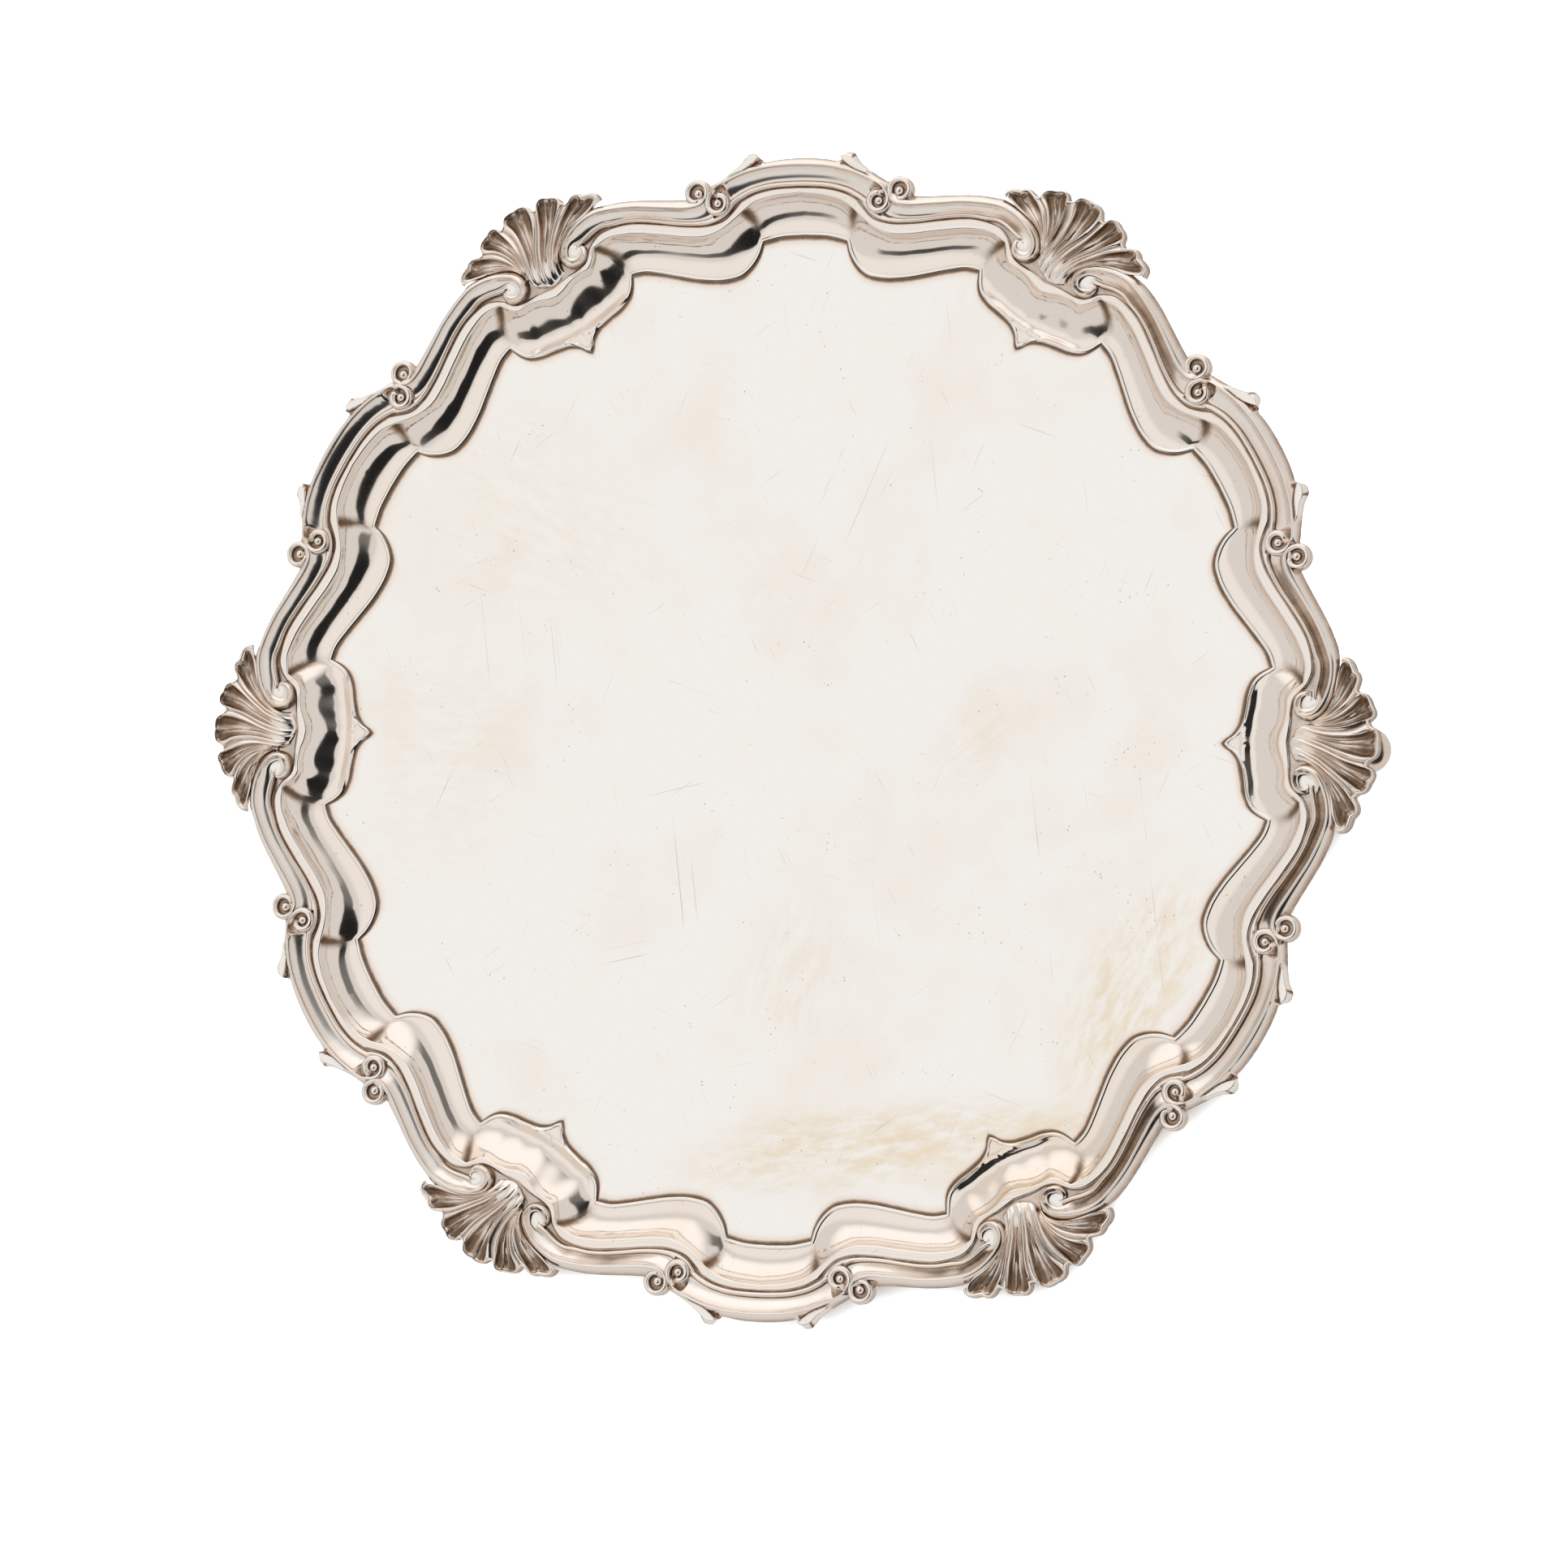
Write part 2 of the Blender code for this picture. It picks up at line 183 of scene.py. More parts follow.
def piece(name, mesh, node, finish, degrees=0.0):
    """One visible piece of the salver: it rides on the root, and its CAD node is hidden."""
    own = mesh.copy()
    own.name = name
    own.transform(Matrix.Rotation(math.radians(degrees), 4, "Z"))
    own.materials.append(finish)
    made = bpy.data.objects.new(name, own)
    COLLECTION.objects.link(made)
    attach(made, "root")
    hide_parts(node)


def pieces_round(name, mesh, finish, count=SECTORS):
    """One piece for each CAD node name_1, name_2 and so on, evenly round the axis."""
    for k in range(count):
        piece(f"{name}_{k + 1}_fine", mesh, f"{name}_{k + 1}", finish, 360 / count * k)


# ---------------- silver


def feed(made, inputs):
    """Links each of a node's inputs to a socket, or sets it to a value."""
    for name, value in inputs.items():
        if isinstance(value, bpy.types.NodeSocket):
            made.id_data.links.new(value, made.inputs[name])
        else:
            made.inputs[name].default_value = value


def node(tree, kind, inputs, **values):
    made = tree.nodes.new(kind)
    for name, value in values.items():
        setattr(made, name, value)
    feed(made, inputs)
    return made


def noise(tree, place, scale, detail, roughness, stretch=(1, 1, 1), turn=0.0):
    size = [1 / value for value in stretch]
    sockets = {"Vector": place, "Scale": size, "Rotation": (0, 0, turn)}
    mapped = node(tree, "ShaderNodeMapping", sockets, vector_type="TEXTURE").outputs["Vector"]
    sockets = {"Vector": mapped, "Scale": scale, "Detail": detail, "Roughness": roughness}
    return node(tree, "ShaderNodeTexNoise", sockets).outputs["Fac"]


def maths(tree, operation, a, b=0.0, clamp=False):
    return node(tree, "ShaderNodeMath", {0: a, 1: b}, operation=operation, use_clamp=clamp).outputs[0]


def plus(tree, a, b, clamp=False):
    return maths(tree, "ADD", a, b, clamp)


def times(tree, a, b, clamp=False):
    return maths(tree, "MULTIPLY", a, b, clamp)


def remap(tree, value, low, high, to_low=0.0, to_high=1.0, kind="SMOOTHSTEP"):
    sockets = {"Value": value, "From Min": low, "From Max": high, "To Min": to_low, "To Max": to_high}
    return node(tree, "ShaderNodeMapRange", sockets, interpolation_type=kind).outputs["Result"]


def mixed(tree, factor, a, b):
    return node(tree, "ShaderNodeMix", {0: factor, 6: a, 7: b}, data_type="RGBA").outputs[2]


def smudge(tree, place, x, y, long, wide, angle):
    """1 in the middle of an oval patch of the plate, 0 outside it."""
    sockets = {
        "Vector": place,
        "Location": (x * RADIUS, y * RADIUS, PLATE_HEIGHT),
        "Rotation": (0, 0, math.radians(angle)),
        "Scale": (long * RADIUS, wide * RADIUS, RADIUS),
    }
    mapped = node(tree, "ShaderNodeMapping", sockets, vector_type="TEXTURE").outputs["Vector"]
    length = node(tree, "ShaderNodeVectorMath", {0: mapped}, operation="LENGTH")
    return remap(tree, length.outputs["Value"], 0.25, 1.0, 1, 0)


# Rubbed patches on the plate: (x, y, half length, half width, direction in degrees, strength)
PLATE_STAINS = (
    (0.6, -0.4, 0.26, 0.12, 62, 0.95),
    (0.16, -0.66, 0.42, 0.09, 8, 0.9),
    (0.02, -0.38, 0.16, 0.14, 75, 0.35),
    (0.32, -0.02, 0.14, 0.09, 40, 0.3),
    (-0.46, 0.36, 0.3, 0.2, 150, 0.25),
    (-0.6, -0.02, 0.2, 0.3, 0, 0.22),
    (0.44, -0.68, 0.22, 0.12, 20, 0.75),
)

# Sets of parallel hairlines: (direction in radians, noise scale, its stretch along the line, threshold)
SCRATCHES = (
    (0.5, 2100, 0.024, 0.74), (1.25, 2300, 0.014, 0.745), (2.2, 1900, 0.02, 0.74),
    (2.75, 2200, 0.012, 0.74), (0.15, 1600, 0.006, 0.735), (1.8, 1500, 0.005, 0.735),
)
HAIRLINE_SOFTNESS = 0.06

# Noise scales, in features per metre or so
WAVE_SCALE = 22
CLOUD_SCALE = 28
PATCH_SCALE = 40
SPARSE_SCALE = 75
MOTTLE_SCALE = 260
RUB_SCALE = 300
PIT_SCALE = 420
GRAIN_SCALE = 1400
RUB_STRETCH = (0.35, 1, 1)

# Linear colours of silver from clean to tarnished; BROWN and DARK also carry painted shade in the creases,
# the shell's flutes and the leaf's seam
CLEAN = (0.93, 0.895, 0.85, 1)
WARM = (0.84, 0.7, 0.595, 1)
BROWN = (0.25, 0.158, 0.098, 1)
STRAW = (0.85, 0.72, 0.54, 1)
DARK = (0.045, 0.032, 0.025, 1)


def hairlines(tree, place):
    """1 on a scratch and 0 beside it. Each set of scratches shows only in some patches."""
    sets = []
    for direction, scale, stretch, threshold in SCRATCHES:
        fine = noise(tree, place, scale, 1, 0.4, (1, stretch, 1), direction)
        window = remap(tree, noise(tree, place, PATCH_SCALE, 1, 0.5, (1, 1, 1), direction), 0.5, 0.68)
        sets.append(times(tree, remap(tree, fine, threshold, threshold + HAIRLINE_SOFTNESS), window))
    together = sets[0]
    for other in sets[1:]:
        together = maths(tree, "MAXIMUM", together, other)
    return together


def pitting(tree, place):
    """1 in the pits, which come in loose groups."""
    dots = node(tree, "ShaderNodeTexVoronoi", {"Vector": place, "Scale": PIT_SCALE}, feature="F1")
    sparse = remap(tree, noise(tree, place, SPARSE_SCALE, 3, 0.6), 0.54, 0.66)
    return times(tree, remap(tree, dots.outputs["Distance"], 0.06, 0.15, 1, 0), sparse)


def rubbing(tree, place, stains, haze):
    """How straw-coloured the silver is: a faint haze, and streaks inside each patch of stains."""
    cloud = noise(tree, place, CLOUD_SCALE, 4, 0.6)
    straw = times(tree, remap(tree, cloud, 0.48, 0.72), haze, True)
    for x, y, long, wide, angle, strength in stains:
        patch = smudge(tree, place, x, y, long, wide, angle)
        streaks = noise(tree, place, RUB_SCALE, 4, 0.65, RUB_STRETCH, math.radians(angle))
        rubbed = times(tree, patch, remap(tree, streaks, 0.3, 0.72))
        straw = plus(tree, straw, times(tree, rubbed, strength))
    return cloud, straw


def silver(name, haze, scratch, polish, tint=0.0, pits=0.5, stains=()):
    """Sterling silver: polished where it is proud, brown and duller where the tarnish value is high. That
    value is tarnish, with painted shade in the creases, the shell's flutes and the leaf's seam.
    """
    made = bpy.data.materials.new(name)
    made.use_nodes = True
    tree = made.node_tree
    place = node(tree, "ShaderNodeTexCoord", {}).outputs["Object"]
    known = node(tree, "ShaderNodeAttribute", {}, attribute_name="tarnish").outputs["Fac"]

    mottle = noise(tree, place, MOTTLE_SCALE, 5, 0.65)
    grain = noise(tree, place, GRAIN_SCALE, 3, 0.6)
    uneven = plus(tree, times(tree, mottle, 0.7), times(tree, grain, 0.3))
    swing = times(tree, maths(tree, "SUBTRACT", uneven, 0.5), 1.1)
    tarnish = plus(tree, known, times(tree, swing, known))
    brown = remap(tree, tarnish, 0.18, 0.85)
    black = remap(tree, tarnish, 0.8, 1.35, 0, 0.75)
    tone = remap(tree, known, 0.02, 0.14, tint, tint + 0.45)
    warm = plus(tree, tone, times(tree, known, 0.5), True)
    cloud, straw = rubbing(tree, place, stains, haze)
    pit = times(tree, pitting(tree, place), pits, True)
    scratches = times(tree, hairlines(tree, place), scratch)

    colour = mixed(tree, straw, CLEAN, STRAW)
    colour = mixed(tree, warm, colour, WARM)
    colour = mixed(tree, brown, colour, BROWN)
    colour = mixed(tree, black, colour, DARK)
    colour = mixed(tree, pit, colour, DARK)
    colour = mixed(tree, times(tree, scratches, 0.42), colour, BROWN)

    rough = plus(tree, times(tree, scratches, 0.12), polish)
    rough = plus(tree, rough, times(tree, remap(tree, cloud, 0.4, 0.75), 0.07))
    rough = plus(tree, rough, times(tree, brown, 0.3), True)

    relief = plus(tree, noise(tree, place, WAVE_SCALE, 2, 0.5), times(tree, scratches, -0.006))
    relief = plus(tree, relief, times(tree, times(tree, mottle, brown), 0.1))
    relief = plus(tree, relief, times(tree, pit, -0.06))
    bump = node(tree, "ShaderNodeBump", {"Height": relief, "Strength": 0.5, "Distance": 0.0008})
    look = {"Base Color": colour, "Metallic": 1.0, "Roughness": rough, "Normal": bump.outputs["Normal"]}
    feed(tree.nodes["Principled BSDF"], look)
    return made


# ---------------- raised sheet

# Half-sector outlines as (degrees from the shell's axis, share of RADIUS), in three stretches that meet in
# corners
PLATE_LINE = (
    (
        (0, 0.7365), (0.5, 0.742), (1, 0.752), (2, 0.7625), (4, 0.771), (6, 0.778), (7.6, 0.792),
        (8.1, 0.803), (8.57, 0.8215),
    ),
    (
        (10, 0.8175), (12, 0.8045), (14, 0.7905), (17, 0.773), (20, 0.765), (22, 0.768), (23.5, 0.782),
        (24.5, 0.801), (25, 0.8195),
    ),
    ((27, 0.824), (30, 0.8255)),
)
COVE_LINE = (
    ((0, 0.836), (1, 0.839), (2, 0.845), (3.5, 0.85), (4.8, 0.852), (5.4, 0.86), (5.8, 0.87), (6.2, 0.879)),
    (
        (8, 0.8845), (10, 0.879), (14, 0.857), (17, 0.841), (19, 0.836), (21, 0.842), (22.6, 0.855),
        (23.7, 0.867),
    ),
    ((25, 0.879), (27, 0.886), (30, 0.89)),
)
GROOVE_LINE = (
    ((0, 0.8525), (2, 0.8565), (4, 0.86), (4.6, 0.864), (5.2, 0.874), (5.7, 0.883), (6.2, 0.889)),
    (
        (7, 0.896), (8.5, 0.8985), (10, 0.8965), (14, 0.876), (17, 0.86), (19.5, 0.853), (21.5, 0.858),
        (22.6, 0.871), (23.5, 0.884),
    ),
    ((25, 0.893), (27, 0.8985), (30, 0.9)),
)
FLANGE_LINE = (
    ((0, 0.944), (4, 0.936), (7, 0.928)),
    ((9, 0.922), (12, 0.914), (16, 0.896), (18, 0.888), (20, 0.891), (21.5, 0.901), (23.5, 0.916)),
    ((25, 0.929), (27, 0.935), (30, 0.937)),
)
TRAY_COLUMNS = (26, 44, 14)  # columns of the sheet's mesh along each stretch of an outline
CREASES = (TRAY_COLUMNS[0], TRAY_COLUMNS[0] + TRAY_COLUMNS[1])
CREASE_WIDTH = 1.05  # columns over which a crease's darkening, painted shade with some dirt, fades
PLATE_RINGS = (
    # share of the plate's outline, tarnish
    (0.02, 0.0), (0.25, 0.0), (0.5, 0.0), (0.7, 0.0), (0.82, 0.0), (0.9, 0.0), (0.95, 0.0), (0.975, 0.02),
    (0.985, 0.08), (0.9905, 0.28), (0.9945, 0.62), (0.9975, 0.95),
)
FILLET = (
    # distance outside the plate's outline, height, tarnish
    (0, 0, 1.05), (0.0012, 0.0009, 0.4), (0.0029, 0.0018, 0.02), (0.0046, 0.0023, 0.0),
    (0.0058, 0.002, 0.0), (0.0068, 0.0011, 0.05), (0.0076, 0.0007, 0.14),
)
COVE_RINGS = 28
COVE_TOP = 0.0395
COVE_ROUNDNESS = 0.955  # share of a quarter circle that the cove's section takes
CREASE_BEND = 2.3  # how late the creases turn towards the cove's top corners
BAY_RIDGE = 0.0034  # heights of what a bay adds to the cove
BAY_HOLLOW = 0.0036
BAY_RIPPLE = 0.0005
RIPPLE_PITCH = 3.1  # degrees
BAY_SIDES = (5.0, 8.3)  # degrees from the shell's axis over which a bay fades
BAY_LINE = (0.764, 0.771)  # its round line at the axis and beside the point
BAY_POINT = 4.0  # half width of the point, in degrees
POINT_TIP = 1.3  # and of its very tip
# From where to where a bay's section rises and falls, from the plate's outline outwards
RIDGE_UP = (0, 0.005)
RIDGE_DOWN = (0.004, 0.021)
HOLLOW_UP = (0.022, 0.06)
RIPPLE_UP = (0.012, 0.03)
RIPPLE_DOWN = (0.04, 0.08)
STRIP = (
    # share of the way from the cove's top to the groove, height, tarnish
    (0.06, 0.0405, 0.08), (0.16, 0.0412, 0.06), (0.3, 0.0417, 0.09), (0.42, 0.0418, 0.18),
    (0.5, 0.0416, 0.22), (0.58, 0.042, 0.12), (0.74, 0.0421, 0.1), (0.86, 0.0416, 0.22),
    (0.94, 0.0409, 0.45), (1, 0.0402, 0.65),
)
GROOVE = (
    # distance outside the groove's line, height, tarnish
    (0.0007, 0.0397, 0.6), (0.0014, 0.0394, 0.55), (0.003, 0.039, 0.45),
)
FLANGE_RINGS = (
    # share of the way from the groove to the flange's edge, height
    (0.3, 0.0364), (1.0, 0.036),
)
FLANGE_STAIN = 0.5
NORMAL_PASSES = 3  # smoothing of the directions in which the sheet's thickness is taken
UNDER_STEP = 3  # the underside has one ring for this many of the upper face's
UNDER_STAIN = 0.12


def half_outline(outline):
    """Evenly spaced points along each stretch of a half sector's outline."""
    points, corner = [], ()
    for stretch, count in zip(outline, TRAY_COLUMNS):
        places = [polar(*place) for place in (*corner, *stretch)]
        points.append(smooth(places, count + 1)[:-1])
        corner = stretch[-1:]
    return np.concatenate([*points, [polar(*corner[0])]])


def whole_ring(half):
    """A half sector's points mirrored and repeated round the axis."""
    mirror = half[:0:-1] * (1, -1)
    sector = np.concatenate([mirror, half[:-1]])
    return np.concatenate([turned(sector, 360 / SECTORS * k) for k in range(SECTORS)])


def plan_normals(ring):
    along = np.roll(ring, -1, axis=0) - np.roll(ring, 1, axis=0)
    across = np.stack([along[:, 1], -along[:, 0]], axis=1)
    return across / np.linalg.norm(across, axis=1, keepdims=True)


def radii_and_angles(ring):
    return np.hypot(*ring.T), np.unwrap(np.arctan2(ring[:, 1], ring[:, 0]))


def blend_rings(first, last, share):
    """A ring between two others. Corners keep to the first one's angle for longer."""
    (r0, a0), (r1, a1) = radii_and_angles(first), radii_and_angles(last)
    a1 = a1 + 2 * math.pi * np.round((a0 - a1) / (2 * math.pi))
    radius = r0 + (r1 - r0) * share
    angle = a0 + (a1 - a0) * share**CREASE_BEND
    return np.stack([radius * np.cos(angle), radius * np.sin(angle)], axis=1)


def ring_at(plan, height):
    return np.column_stack([plan, np.broadcast_to(height, len(plan))])


def bay_relief(distance, ripple):
    """What a bay adds to the cove: a ridge along the plate and a rippled hollow behind it."""
    rise = BAY_RIDGE * step(*RIDGE_UP, distance)
    fall = (BAY_RIDGE + BAY_HOLLOW) * step(*RIDGE_DOWN, distance)
    back = BAY_HOLLOW * step(*HOLLOW_UP, distance)
    rippled = ripple * step(*RIPPLE_UP, distance) * (1 - step(*RIPPLE_DOWN, distance))
    return rise - (fall - back) + rippled


def off_shell_axis(ring):
    """Degrees from the nearest shell's axis."""
    sector = 360 / SECTORS
    angle = np.degrees(np.arctan2(ring[:, 1], ring[:, 0]))
    return np.abs((angle + sector / 2) % sector - sector / 2)


def shell_bay(ring):
    """1 beside the shells, falling to 0 at the corners of their bays; and the ripple of the hollow there."""
    off_axis = off_shell_axis(ring)
    ripple = BAY_RIPPLE * np.cos(2 * math.pi * off_axis / RIPPLE_PITCH)
    return 1 - step(*BAY_SIDES, off_axis), ripple


def point_depth(ring):
    """How far the point on each shell's axis reaches inside the bay's round line."""
    off_axis = off_shell_axis(ring)
    round_line = BAY_LINE[0] + (BAY_LINE[1] - BAY_LINE[0]) * (off_axis / BAY_POINT) ** 2
    return np.where(off_axis < BAY_POINT, np.maximum(round_line - np.hypot(*ring.T), 0), 0)


def tray_rings():
    plate = whole_ring(half_outline(PLATE_LINE))
    cove_top = whole_ring(half_outline(COVE_LINE))
    groove = whole_ring(half_outline(GROOVE_LINE))
    flange = whole_ring(half_outline(FLANGE_LINE))
    near_crease = crease_closeness(len(plate))
    rings, tarnish = [], []

    def add(plan, height, stain):
        rings.append(ring_at(plan, height))
        tarnish.append(np.broadcast_to(stain, len(plan)))

    for share, stain in PLATE_RINGS:
        add(plate * share, 0, stain)
    at_point = np.exp(-((off_shell_axis(plate) / POINT_TIP) ** 2))[:, None]
    radial = plate / np.linalg.norm(plate, axis=1, keepdims=True)
    normals = plan_normals(plate) * (1 - at_point) + radial * at_point
    bay, ripple = shell_bay(plate)
    depth = point_depth(plate)
    for offset, height, stain in FILLET:
        add(plate + normals * offset, height + bay * bay_relief(offset - depth, ripple), stain)
    foot = plate + normals * FILLET[-1][0]
    width = np.linalg.norm(cove_top - foot, axis=1)
    low = FILLET[-1][1]
    for i in range(1, COVE_RINGS + 1):
        share = i / COVE_RINGS
        rise = (1 - math.sqrt(1 - (COVE_ROUNDNESS * share) ** 2)) / (1 - math.sqrt(1 - COVE_ROUNDNESS**2))
        stain = 0.13 + 0.1 * math.exp(-12 * share) + 0.12 * share**3
        plan = blend_rings(foot, cove_top, share)
        pushed = depth * ((1 - share) - (1 - share) ** 6)
        along = FILLET[-1][0] + share * width + pushed - depth
        height = low + (COVE_TOP - low) * rise + bay * bay_relief(along, ripple)
        plan = plan * (1 + pushed / np.hypot(*plan.T))[:, None]
        # Along the creases between coves the value rises towards the cove's top: painted shade in the crease,
        # with some dirt
        add(plan, height, stain + (0.15 + 0.85 * share**1.5) * near_crease)
    for share, height, stain in STRIP:
        add(blend_rings(cove_top, groove, share), height, stain)
    for offset, height, stain in GROOVE:
        beyond = groove + plan_normals(groove) * offset
        add(beyond, height, stain)
    for share, height in FLANGE_RINGS:
        add(beyond * (1 - share) + flange * share, height, FLANGE_STAIN)
    return np.array(rings), np.array(tarnish)


def crease_closeness(columns):
    """1 at the columns where two coves meet, falling to 0 a few columns away."""
    half = sum(TRAY_COLUMNS)
    at = np.arange(columns) % (2 * half) - half
    away = np.min([np.abs(np.abs(at) - crease) for crease in CREASES], axis=0)
    return np.exp(-((away / CREASE_WIDTH) ** 2))


def sharpen(mesh, columns):
    """Hard edges along the creases between neighbouring coves."""
    half = sum(TRAY_COLUMNS)
    ends = np.empty(len(mesh.edges) * 2, np.int32)
    mesh.edges.foreach_get("vertices", ends)
    ends = ends.reshape(-1, 2)
    rows, column = ends // columns, ends % columns
    at = np.abs(column % (2 * half) - half)
    first = len(PLATE_RINGS) + 1
    last = len(PLATE_RINGS) + len(FILLET) + COVE_RINGS
    on = (column[:, 0] == column[:, 1]) & np.isin(at[:, 0], CREASES) & (rows.min(axis=1) >= first)
    on &= rows.max(axis=1) <= last
    sharp = mesh.attributes.get("sharp_edge") or mesh.attributes.new("sharp_edge", "BOOLEAN", "EDGE")
    flags = np.zeros(len(mesh.edges), bool)
    sharp.data.foreach_get("value", flags)
    sharp.data.foreach_set("value", flags | on)


def surface_normals(rings):
    around = np.roll(rings, -1, axis=1) - np.roll(rings, 1, axis=1)
    outwards = np.gradient(rings, axis=0)
    normals = np.cross(outwards, around)
    return normals / np.linalg.norm(normals, axis=2, keepdims=True)


def build_tray():
    """The upper surface, its copy one sheet's thickness below, and the edge between them."""
    upper, tarnish = tray_rings()
    columns = upper.shape[1]
    normals = surface_normals(upper)
    normals[: len(PLATE_RINGS)] = (0, 0, 1)
    for _ in range(NORMAL_PASSES):
        normals[1:-1] = (normals[:-2] + 2 * normals[1:-1] + normals[2:]) / 4
    normals /= np.linalg.norm(normals, axis=2, keepdims=True)
    kept = sorted({*range(0, len(upper), UNDER_STEP), len(upper) - 1})
    lower = (upper - normals * SHEET / RADIUS)[kept]
    under = np.full(lower.shape[:2], UNDER_STAIN)
    rings, stain = np.concatenate([upper, lower[::-1]]), np.concatenate([tarnish, under])
    body = Body()
    body.grid(rings, stain, round_columns=True, caps=True)
    mesh = body.mesh("tray_body")
    sharpen(mesh, columns)
    finish = silver("tray_silver", haze=0.22, scratch=0.8, polish=0.085, stains=PLATE_STAINS)
    piece("tray", mesh, "tray_body", finish)


# ---------------- border castings

# The moulding's section: (place, height, tarnish). Places run from its inner side at 0 over the crest at 1
# to the edge at 2.
SECTION = (
    (0, 0.0385, 0.7), (0, 0.0415, 0.45), (0.025, 0.0443, 0.16), (0.07, 0.046, 0.04), (0.12, 0.0465, 0),
    (0.17, 0.0456, 0.08), (0.21, 0.0432, 0.45), (0.24, 0.0406, 0.7), (0.28, 0.0389, 0.36),
    (0.33, 0.0392, 0.1), (0.4, 0.0401, 0.06), (0.5, 0.0419, 0.03), (0.6, 0.0441, 0.03),
    (0.7, 0.0467, 0.06), (0.79, 0.0494, 0.14), (0.87, 0.0521, 0.3), (0.93, 0.0537, 0.42),
    (0.96, 0.0541, 0.1), (1, 0.0544, 0), (1.05, 0.0538, 0.14), (1.12, 0.0528, 0.08),
    (1.28, 0.0513, 0.07), (1.48, 0.0487, 0.2), (1.66, 0.0449, 0.36), (1.82, 0.0402, 0.5),
    (1.93, 0.0355, 0.6), (2, 0.031, 0.65),
)
# The same where the scroll curls into a cup beside the shell
CUP = (
    (0, 0.0432, 0.15), (0.02, 0.043, 0.12), (0.06, 0.0428, 0.1), (0.11, 0.0427, 0.06),
    (0.17, 0.0427, 0.04), (0.23, 0.0427, 0.03), (0.29, 0.0428, 0.02), (0.35, 0.0429, 0.02),
    (0.41, 0.0431, 0), (0.47, 0.0434, 0), (0.53, 0.0438, 0), (0.59, 0.0442, 0), (0.65, 0.0448, 0.02),
    (0.71, 0.0456, 0.05), (0.77, 0.0467, 0.1), (0.85, 0.0492, 0.18), (0.92, 0.0518, 0.15),
    (0.96, 0.0534, 0.05),
)
SECTION_WIDTH = 0.03  # of the moulding, for spacing the points of its section evenly
SECTION_COUNT = 72
UNDERSIDE = (1.94, 1.6, 1.3, 0.6, 0.05)  # places of the points under the section
HIDDEN_STAIN = 0.6
LIP = 0.03  # the section's lowest edge
REED = 0.0016  # radius of the round wire along the crest
REED_CENTRE = 0.0535
REED_HEIGHT = REED_CENTRE - 0.0003
WIRE_SIDES = 10
WIRE_END = 0.1  # share of a wire's length over which it tapers


def section_curve(points):
    curve = smooth(np.multiply(points, (SECTION_WIDTH, 1, 1)), SECTION_COUNT)
    curve[:, 0] /= SECTION_WIDTH
    return curve


def moulding(body, stations, lips, cups, rises, count, outer=None):
    """A band lofted along stations of (crest, inner side, edge), each a place in plan."""
    table = np.reshape(stations, (-1, 6))
    along = smooth(np.column_stack([table, lips, cups, rises]), count)
    plain = section_curve(SECTION)
    cupped = section_curve(CUP + SECTION[len(CUP):])
    rows, stains = [], []
    for station in along:
        crest, inner, edge = station[:6].reshape(3, 2)
        lip, cup, rise = station[6:]
        place, height, stain = (plain + (cupped - plain) * min(max(cup, 0), 1)).T
        plan = inner + (crest - inner) * np.clip(place, 0, 1)[:, None]
        plan = plan + (edge - crest) * np.clip(place - 1, 0, 1)[:, None]
        lowered = lip + (height - LIP) * (REED_CENTRE - lip) / (REED_CENTRE - LIP)
        height = np.where(place > 1, lowered, height)
        height = np.where(height > BOWL, BOWL + (height - BOWL) * rise, height)
        if outer is not None:
            height, stain = outer(place, plan, height, stain)
        under = []
        for share, level in zip(UNDERSIDE, (lip - 0.001, lip - 0.0005, max(lip, BASE), BASE, BASE)):
            base = inner + (crest - inner) * min(share, 1) + (edge - crest) * max(share - 1, 0)
            under.append((*base, min(level, height[place >= share].max())))
        rows.append(np.concatenate([np.column_stack([plan, height]), under]))
        stains.append(np.concatenate([stain, np.full(len(under), HIDDEN_STAIN)]))
    body.grid(np.array(rows), np.array(stains), round_columns=True, caps=True)


def wire(body, path, height, radius, tarnish=0.0, taper=0.0):
    """A round wire laid along a plan path."""
    path = ring_at(path, height)
    along = np.gradient(path, axis=0)
    along /= np.linalg.norm(along, axis=1, keepdims=True)
    across = np.column_stack([-along[:, 1], along[:, 0], np.zeros(len(path))])
    across /= np.linalg.norm(across, axis=1, keepdims=True)
    up = np.cross(along, across)
    share = np.linspace(0, 1, len(path))
    near_end = np.clip(1 - np.minimum(share, 1 - share) / WIRE_END, 0, 1)
    size = radius * (1 - taper * near_end)[:, None, None]
    turn = np.linspace(0, 2 * math.pi, WIRE_SIDES, endpoint=False)[None, :, None]
    ring = across[:, None] * np.cos(turn) + up[:, None] * np.sin(turn)
    body.grid(path[:, None] + ring * size, tarnish, round_columns=True, caps=True)


def winding(centre, entry, turns):
    """Points along a volute's crest, clockwise from where the moulding enters it."""
    steps = np.linspace(0, turns[-1][0], 90)
    radius = value_at(turns, steps)
    angle = np.radians(entry - steps)
    return centre + radius * np.column_stack([np.cos(angle), np.sin(angle)])


